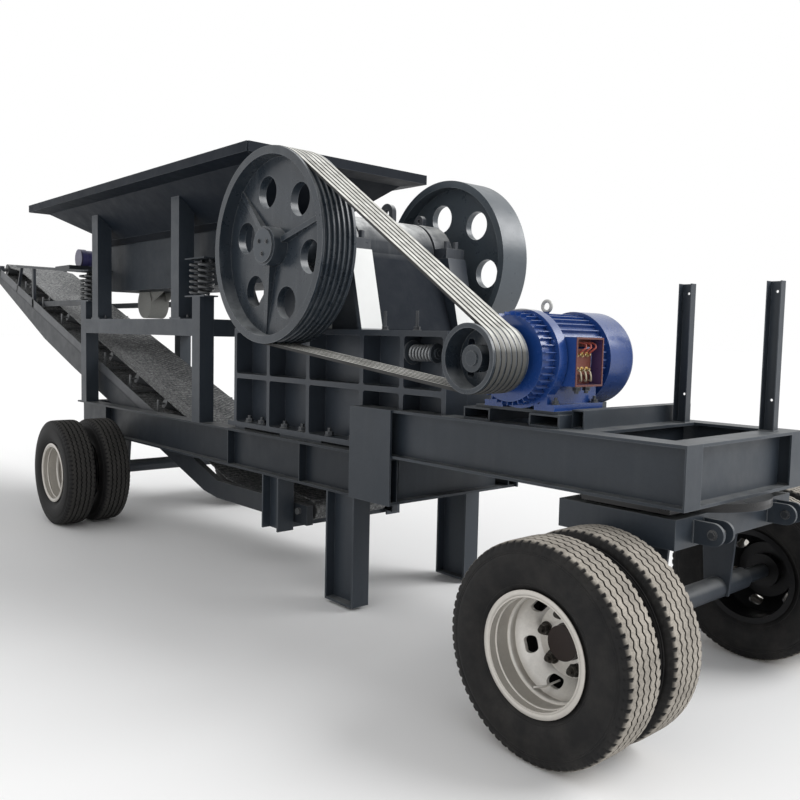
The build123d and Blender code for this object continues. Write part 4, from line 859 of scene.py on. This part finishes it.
# Shaft line: eccentric shaft, grooved sheave and plain flywheel, both cast with three ribs and six holes.
# Three bolts hold the end disc of the shaft on each side.
wheel_casting = weathered(
    "wheel_casting",
    (0.022, 0.030, 0.040),
    (0.2, 0.215, 0.23),
    dust_colour=(0.50, 0.52, 0.53),
    dust=0.7,
    edges=0.9,
    rough=0.28,
    specular=0.5,
)
dress(wheel_casting, "grooved_sheave", "motor_pulley")
# The flywheel has a brighter copy of the casting paint, as painted light on its web, which faces away from
# the lamp.
flywheel_casting_painted_light = weathered(
    "flywheel_casting_painted_light",
    (0.06, 0.075, 0.09),
    (0.3, 0.32, 0.34),
    dust=0.35,
    edges=0.9,
    rough=0.3,
    specular=0.55,
)
dress(flywheel_casting_painted_light, "plain_flywheel")
shaft_steel = weathered("shaft_steel", (0.05, 0.06, 0.072), bare_steel_and_highlight, dust=0.4, rough=0.32, metallic=0.2)
dress(shaft_steel, "eccentric_shaft", "tension_rods")
end_bolt_circle = 0.045
end_bolt_start = 25.0


def shaft_end_bolts():
    shaft_low, shaft_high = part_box("eccentric_shaft")
    x, _, z = box_middle("grooved_sheave")
    for hand, side, y in (("right", -1, shaft_low[1]), ("left", 1, shaft_high[1])):
        points = circle_points(Vector((x, y, z)), end_bolt_circle, 3, end_bolt_start)
        bolts("shaft_end_bolts_" + hand, points, (0, side, 0), 0.011, 0.0088, body="crusher_shaft")


shaft_end_bolts()


# Tension springs: coils of round bar over the rods that hold the jaw against its toggle plate.
# The same coil, upright and in pairs, carries the feeder.
def spring_tree():
    """Coil springs along the Direction input, one from each point."""
    tree, given = new_tree(
        "coil_springs", Direction="Vector", Coil_Radius="Float", Wire="Float", Length="Float", Turns="Float"
    )
    spiral = node(
        tree,
        "GeometryNodeCurveSpiral",
        Resolution=20,
        Rotations=given["Turns"],
        Start_Radius=given["Coil Radius"],
        End_Radius=given["Coil Radius"],
        Height=given["Length"],
    )
    coil = swept_bar(tree, spiral.outputs["Curve"], given["Wire"], 8)
    return end_tree(tree, given, instances(tree, given["Geometry"], coil, given["Direction"]))


coil_springs = spring_tree()
spring_bright = weathered(
    "spring_bright", (0.28, 0.29, 0.30), (0.5, 0.5, 0.5), dust=0.2, rough=0.3, metallic=0.5
)
spring_black = weathered(
    "spring_black", (0.03, 0.033, 0.038), (0.12, 0.12, 0.12), dust=0.5, rough=0.3, coat=0.3
)


def springs(name, points, direction, radius, wire, length, turns, material):
    """Coils with this radius and length over all, which stand for the frame model's bars."""
    values = {
        "Direction": direction,
        "Coil Radius": radius - wire,
        "Wire": wire,
        "Length": length - 2 * wire,
        "Turns": turns,
        "Material": material,
    }
    piece = grow(path_piece(name, points), coil_springs, values)
    return mount(smoothed(piece), "plant")


tension_wire = 0.0075
tension_turns = 6.5


def tension_springs():
    low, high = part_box("tension_springs")
    radius = (high[2] - low[2]) / 2
    z = (low[2] + high[2]) / 2
    points = [(low[0] + tension_wire, side * (high[1] - radius), z) for side in (-1, 1)]
    length = high[0] - low[0]
    coils = springs(
        "tension_coils", points, (1, 0, 0), radius, tension_wire, length, tension_turns, spring_bright
    )
    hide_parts("tension_springs")


tension_springs()


# Drive belts: six matched V belts, moulded endless in rubber under canvas and run over both grooved wheels.
# They are pale with dust outside, and dark on their slanted flanks and where they face down.
def belt_material():
    material, tree, shader = new_material("belt_canvas")
    place = object_place(tree)
    lines = noise(tree, stretched(tree, place, (3.0, 70.0, 3.0)), 1.0, 3.0)
    patches = noise(tree, place, 14.0, 5.0, 0.65)
    across = math_node(tree, "ABSOLUTE", facing_value(tree, "Y"))
    colour = layered(
        tree,
        (0.46, 0.455, 0.42),
        (remap(tree, patches, 0.35, 0.65), (0.74, 0.735, 0.69)),
        (remap(tree, lines, 0.5, 0.72, 0.0, 0.6), (0.12, 0.12, 0.105)),
        (remap(tree, facing_value(tree, "Z"), 0.68, 0.2), (0.075, 0.075, 0.07)),
        (remap(tree, across, 0.4, 0.7), (0.035, 0.035, 0.035)),
    )
    cover(tree, shader, colour, remap(tree, patches, 0.3, 0.7, 0.65, 0.85), lines, 0.4, 0.0006)
    return material


dress(belt_material(), "v_belts")


# Motor: finned cast body in gloss blue on a base of two channels and a slide plate.
# It has a belled flange with bolts, a pressed fan cover with a round grille, and an open terminal box.
def blue_paint(name, edges, rough, coat):
    """Gloss blue over cast iron, more or less lighter at its edges: partly rubbed wear and partly painted
    edge highlight.
    """
    blue = (0.012, 0.050, 0.215)
    return weathered(name, blue, (0.12, 0.18, 0.36), dust=0.3, edges=edges, rough=rough, coat=coat)


box_low, box_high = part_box("terminal_box")
box_y, box_z = box_middle("terminal_box")[1:]
motor_x = box_middle("motor_body")[0]
motor_z = box_middle("fan_cover")[2]
motor_centre = Vector((motor_x, 0, motor_z))
eye_bolt_root = motor_z + 0.212
eye_bolt_steel = (0.5, 0.5, 0.48)
terminal_red = (0.13, 0.035, 0.026)
terminal_wall = 0.0085
motor_blue = blue_paint("motor_blue", 0.35, 0.26, 0.35)
dress(motor_blue, "fan_cover")
dress(frame_paint, "motor_base")
body_blue = blue_paint("body_blue", 0.5, 0.24, 0.4)
repaint(body_blue, past("Z", eye_bolt_root, eye_bolt_root + 0.002), eye_bolt_steel)
dress(body_blue, "motor_body")
box_blue = blue_paint("box_blue", 0.35, 0.3, 0.3)


def inside_box(tree):
    """1 within the walls of the terminal box and on its front edge."""
    within = []
    for axis, low, high in (("Y", box_low[1], box_high[1]), ("Z", box_low[2], box_high[2])):
        offset = math_node(tree, "SUBTRACT", axis_value(tree, axis), (low + high) / 2)
        edge = (high - low) / 2 - terminal_wall
        within.append(remap(tree, math_node(tree, "ABSOLUTE", offset), edge + 0.001, edge))
    front = remap(tree, axis_value(tree, "X"), box_high[0] - 0.004, box_high[0] - 0.003)
    return math_node(tree, "MAXIMUM", times(tree, *within), front)


repaint(box_blue, inside_box, terminal_red)
dress(box_blue, "terminal_box")
bell_y = -0.455
bell_front_y = -0.53
bell_bolt_circle = 0.2
bell_bolt_count = 8
bell_bolt_start = 22.5
foot_x = 0.18
foot_y = (-0.42, -0.14)
foot_thickness = 0.028


def motor_bolts():
    """Bolts round the drive end bell and through the four feet."""
    bell_centre = motor_centre + Vector((0, bell_y, 0))
    bell = circle_points(bell_centre, bell_bolt_circle, bell_bolt_count, bell_bolt_start)
    bolts("motor_bell_bolts", bell, (0, -1, 0), 0.011, 0.012, material=motor_blue)
    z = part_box("motor_base")[1][2] + foot_thickness
    feet = [(motor_x + x, y, z) for x in (-foot_x, foot_x) for y in foot_y]
    bolts("motor_foot_bolts", feet, (0, 0, 1), 0.015, 0.016, 0.03)


def on_motor_axis(name, tree, values, y):
    """Grows a round piece from a tree and sets it across the motor's shaft at this place."""
    piece = grow(path_piece(name, [(0, 0, 0)]), tree, {**values, "Material": motor_blue})
    place = Matrix.Translation(motor_centre + Vector((0, y, 0)))
    piece.data.transform(place @ Matrix.Rotation(math.radians(90), 4, "X"))
    mount(piece, "plant")


def fin_tree():
    """Upright plates round a circle: the cooling fins of the motor's drive end shield."""
    tree, given = new_tree("shield_fins", Circle_Radius="Float", Count="Int", Fin_Size="Vector")
    circle = node(tree, "GeometryNodeMeshCircle", Vertices=given["Count"], Radius=given["Circle Radius"])
    fin = node(tree, "GeometryNodeMeshCube", Size=given["Fin Size"])
    where = node(tree, "GeometryNodeInputPosition").outputs["Position"]
    placed = instances(tree, circle.outputs["Mesh"], fin.outputs["Mesh"], where, "X")
    return end_tree(tree, given, placed)


def grille_tree():
    """Rings of thin bars on a disc; the Rings input counts them."""
    tree, given = new_tree("fan_grille", Outer_Radius="Float", Rings="Int", Wire="Float")
    line = node(tree, "GeometryNodeMeshLine", mode="OFFSET", Count=given["Rings"], Offset=(0.0, 0.0, 0.0))
    index = node(tree, "GeometryNodeInputIndex").outputs["Index"]
    share = math_node(tree, "DIVIDE", math_node(tree, "ADD", index, 1.0), given["Rings"])
    ring = node(tree, "GeometryNodeCurvePrimitiveCircle", Resolution=48, Radius=given["Outer Radius"])
    placed = node(
        tree,
        "GeometryNodeInstanceOnPoints",
        Points=line.outputs["Mesh"],
        Instance=ring.outputs["Curve"],
        Scale=node(tree, "ShaderNodeCombineXYZ", X=share, Y=share, Z=share).outputs["Vector"],
    )
    realized = node(tree, "GeometryNodeRealizeInstances", Geometry=placed.outputs["Instances"])
    return end_tree(tree, given, swept_bar(tree, realized.outputs["Geometry"], given["Wire"], 6, caps=False))


fin_inner = 0.187
fin_outer = 0.206
fin_thickness = 0.004
fin_count = 40
fin_size = (fin_outer - fin_inner, fin_thickness, bell_y - bell_front_y)
fin_values = {"Circle Radius": (fin_inner + fin_outer) / 2, "Count": fin_count, "Fin Size": fin_size}
grille_values = {"Outer Radius": 0.16, "Rings": 9, "Wire": 0.003}
terminal_face = box_low[0] + 0.034
board_thickness = 0.022
board_margin = Vector((0, 0.03, 0.05))
terminal_pitch = 0.035
terminal_row = 0.032
terminal_columns = (-1, 0, 1)
lead_start = box_low[0] + 0.036
red_loop = [(0, 0, 0), (0.02, 0.005, 0.016), (0.03, 0.018, 0.03)]
red_loop += [(0.022, 0.026, 0.042), (0.006, 0.024, 0.05), (-0.004, 0.012, 0.052)]
pale_drop = [(0, 0, 0), (0.022, -0.006, -0.012), (0.034, -0.016, -0.028)]
pale_drop += [(0.03, -0.008, -0.046), (0.016, 0.01, -0.052), (0.0, 0.018, -0.05)]
terminal_brown = weathered("terminal_brown", (0.16, 0.045, 0.03), (0.3, 0.12, 0.08), dust=0.2, rough=0.45)
terminal_brass = weathered(
    "terminal_brass", (0.55, 0.42, 0.2), (0.6, 0.5, 0.3), dust=0.1, rough=0.3, metallic=0.9
)
lead_red = weathered("lead_red", (0.42, 0.07, 0.05), (0.5, 0.2, 0.15), dust=0.4, rough=0.5)
lead_pale = weathered("lead_pale", (0.55, 0.5, 0.36), (0.6, 0.55, 0.4), dust=0.3, rough=0.5)


def add_block(shape, low, high):
    """Adds a box between two corners to a bmesh."""
    low, high = Vector(low), Vector(high)
    made = bmesh.ops.create_cube(shape, size=1.0)
    bmesh.ops.scale(shape, vec=high - low, verts=made["verts"])
    bmesh.ops.translate(shape, vec=(high + low) / 2, verts=made["verts"])


def make_terminals():
    """The terminal board inside the open box, with its six studs."""
    low = Vector((terminal_face - board_thickness, *box_low[1:])) + board_margin
    high = Vector((terminal_face, *box_high[1:])) - board_margin
    shape = bmesh.new()
    add_block(shape, low, high)
    bmesh.ops.bevel(shape, geom=shape.edges[:], offset=0.003, segments=2, affect="EDGES")
    built("terminal_board", shape, terminal_brown, "plant")
    studs = []
    for column in terminal_columns:
        for row in (-1, 1):
            studs.append((terminal_face, box_y + column * terminal_pitch, box_z + row * terminal_row))
    bolts("terminal_studs", studs, (1, 0, 0), 0.009, 0.007, 0.018, material=terminal_brass)


def terminal_leads(name, row, bends, radius, material):
    """Short winding ends looped from one row of studs, inside the box."""
    paths = []
    for column in terminal_columns:
        start = Vector((lead_start, box_y + column * terminal_pitch, box_z + row * terminal_row))
        paths.append([start + Vector(bend) for bend in bends])
    rods(name, paths, radius, material)


gland_x = box_high[0] - 0.04
gland_places = [(gland_x, box_y + offset, box_low[2]) for offset in (-0.035, 0.035)]
motor_bolts()
on_motor_axis("shield_fins", fin_tree(), fin_values, (bell_y + bell_front_y) / 2)
on_motor_axis("fan_grille", grille_tree(), grille_values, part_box("fan_cover")[1][1] - 0.003)
make_terminals()
terminal_leads("red_leads", 1, red_loop, 0.0042, lead_red)
terminal_leads("pale_leads", -1, pale_drop, 0.0036, lead_pale)
bolts("cable_glands", gland_places, (0, 0, -1), 0.019, 0.02, 0.032)


# Hopper: sloping plate walls with a folded rim band, welded, on four square legs that stand on bolted feet.
# A rubber skirt hangs from its throat into the trough, at both sides and the closed end.
hopper_paint = weathered(
    "hopper_paint", (0.010, 0.014, 0.021), worn_and_highlit_slate, dust=0.4, rough=0.55, specular=0.12
)
dress(hopper_paint, "hopper_sides", "hopper_ends")
dress(frame_paint, "hopper_legs")
leg_backs = (5.435, 3.983)
leg_size = 0.12
leg_foot_z = 1.621
leg_y = 0.44
foot_bolt_inset = 0.012
throat_half = 0.30
throat_front = behind(3.25)
throat_back = behind(5.70) + 0.013
skirt_bottom = 2.248
skirt_top = 2.306
skirt_thickness = 0.008
skirt_inset = 0.003
skirt_rubber = weathered(
    "skirt_rubber", (0.008, 0.010, 0.014), (0.03, 0.03, 0.03), dust=0.0, rough=0.75, specular=0.1
)


def leg_bolts():
    """One bolt each side of every hopper leg, through its foot."""
    points = []
    for distance in leg_backs:
        for ahead in (foot_bolt_inset, -leg_size - foot_bolt_inset):
            points += [(behind(distance) + ahead, side * leg_y, leg_foot_z) for side in (-1, 1)]
    bolts("hopper_foot_bolts", points, (0, 0, 1), 0.009, 0.012, 0.02)


def throat_skirt():
    outer = throat_half - skirt_inset
    inner = outer - skirt_thickness
    shape = bmesh.new()
    for x, y0, y1 in (
        (throat_front, -outer, -inner),
        (throat_front, inner, outer),
        (throat_back + skirt_thickness, -inner, inner),
    ):
        add_block(shape, (throat_back, y0, skirt_bottom), (x, y1, skirt_top))
    built("throat_skirt", shape, skirt_rubber, "plant")


leg_bolts()
throat_skirt()


# Feeder: a welded plate trough shaken by a drum, carried on pairs of coil springs.
# The springs sit between flat plates on the columns of a frame of square tube.
trough_paint = weathered(
    "trough_paint", (0.019, 0.025, 0.033), worn_and_highlit_slate, dust=0.6, rough=0.5, specular=0.2
)
lip_bottom = 2.259
lip_worn = (0.30, 0.31, 0.31)
repaint(trough_paint, past("Z", lip_bottom, lip_bottom + 0.001, 0.8), lip_worn)
dress(trough_paint, "feeder_trough")
dress(frame_paint, "feeder_frame")
drum_paint = weathered("drum_paint", (0.34, 0.34, 0.32), (0.5, 0.5, 0.48), dust=0.9, rough=0.55)
dress(drum_paint, "feeder_exciter")
spring_offset = 0.062
spring_shift = -0.02
spring_radius = 0.058
spring_wire = 0.010
spring_turns = 6.0
plate_thickness = 0.01
plate_back = 0.165
plate_front = 0.11
plate_half = 0.055
column_middles = (3.728, 5.755)
column_y = 0.445


def feeder_springs():
    """Two coils on each column, and the plate that they stand on."""
    low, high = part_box("feeder_springs")
    bottom = low[2] + plate_thickness
    points = []
    shape = bmesh.new()
    for distance in column_middles:
        x = behind(distance)
        for offset in (-spring_offset, spring_offset):
            for side in (-1, 1):
                points.append((x + spring_shift + offset, side * column_y, bottom + spring_wire))
        for side in (-1, 1):
            y = side * column_y
            rear_corner = (x - plate_back, y - plate_half, low[2])
            add_block(shape, rear_corner, (x + plate_front, y + plate_half, bottom))
    length = high[2] - bottom
    coils = springs(
        "feeder_coils", points, (0, 0, 1), spring_radius, spring_wire, length, spring_turns, spring_black
    )
    built("spring_plates", shape, frame_paint, "plant")
    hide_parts("feeder_springs")


feeder_springs()


# Conveyor: a troughed rubber belt on roller sets between two channel stringers, with tube guards.
# A small violet motor stands on a platform over its upper end.
conveyor_rib_pitch = 0.036


def conveyor_rubber_material():
    """Grey rubber speckled with pale stone dust, with low ribs across it, and painted shade in the hollows
    between the ribs.
    """
    material, tree, shader = new_material("conveyor_rubber")
    place = object_place(tree)
    patches = noise(tree, place, 6.0, 6.0, 0.6)
    grit = noise(tree, place, 48.0, 6.0, 0.85)
    dust = times(tree, remap(tree, grit, 0.42, 0.6), remap(tree, patches, 0.25, 0.6, 0.45, 1.0))
    along = math_node(tree, "ADD", axis_value(tree, "X"), times(tree, patches, 0.05))
    ribs = math_node(tree, "SINE", times(tree, along, 2 * math.pi / conveyor_rib_pitch))
    # Darker in the hollows between the ribs: painted shade.
    hollow_shade = remap(tree, ribs, 0.0, -0.8, 0.0, 0.55)
    rubber_grey = (0.055, 0.058, 0.062)
    colour = layered(tree, rubber_grey, (dust, (0.36, 0.365, 0.36)), (hollow_shade, (0.035, 0.037, 0.04)))
    relief = math_node(tree, "ADD", grit, times(tree, ribs, 0.4))
    cover(tree, shader, colour, 0.8, relief, 0.8, 0.006)
    return material


dress(conveyor_rubber_material(), "conveyor_belt")
conveyor_paint = weathered("conveyor_paint", (0.021, 0.025, 0.031), worn_and_highlit_slate, dust=0.7, specular=0.3)
dress(conveyor_paint, "conveyor_frame", "conveyor_guard")
rail_paint = weathered("rail_paint", (0.075, 0.08, 0.088), worn_and_highlit_slate, dust=0.9, specular=0.3)
stringer_start = (4.0, 0.5888)
stringer_end = (8.54, 2.0993)
rail_lifts = (-0.004, 0.08)
rail_y = (0.362, 0.370)
bar_faces = ((0, 1, 3, 2), (4, 6, 7, 5), (0, 4, 5, 1), (2, 3, 7, 6), (0, 2, 6, 4), (1, 5, 7, 3))


def idler_rails():
    """The flat bars on edge along the top of both stringers, which the roller sets stand between."""
    shape = bmesh.new()
    for side in (-1, 1):
        corners = []
        for distance, z in (stringer_start, stringer_end):
            for y in rail_y:
                corners += [shape.verts.new((behind(distance), side * y, z + lift)) for lift in rail_lifts]
        for loop in bar_faces:
            shape.faces.new([corners[index] for index in loop])
    built("idler_rails", shape, rail_paint, "plant")


idler_rails()
roller_paint = weathered(
    "roller_paint", (0.10, 0.105, 0.11), (0.35, 0.35, 0.35), dust=0.8, rough=0.45, metallic=0.2
)
dress(roller_paint, "conveyor_drums", "conveyor_idlers")
motor_violet = weathered(
    "motor_violet", (0.085, 0.08, 0.23), (0.3, 0.3, 0.4), dust=0.5, rough=0.35, coat=0.2
)
end_cap_y = -0.222
repaint(motor_violet, past("Y", end_cap_y, end_cap_y - 0.004), (0.075, 0.07, 0.14))
dress(motor_violet, "feeder_motor")
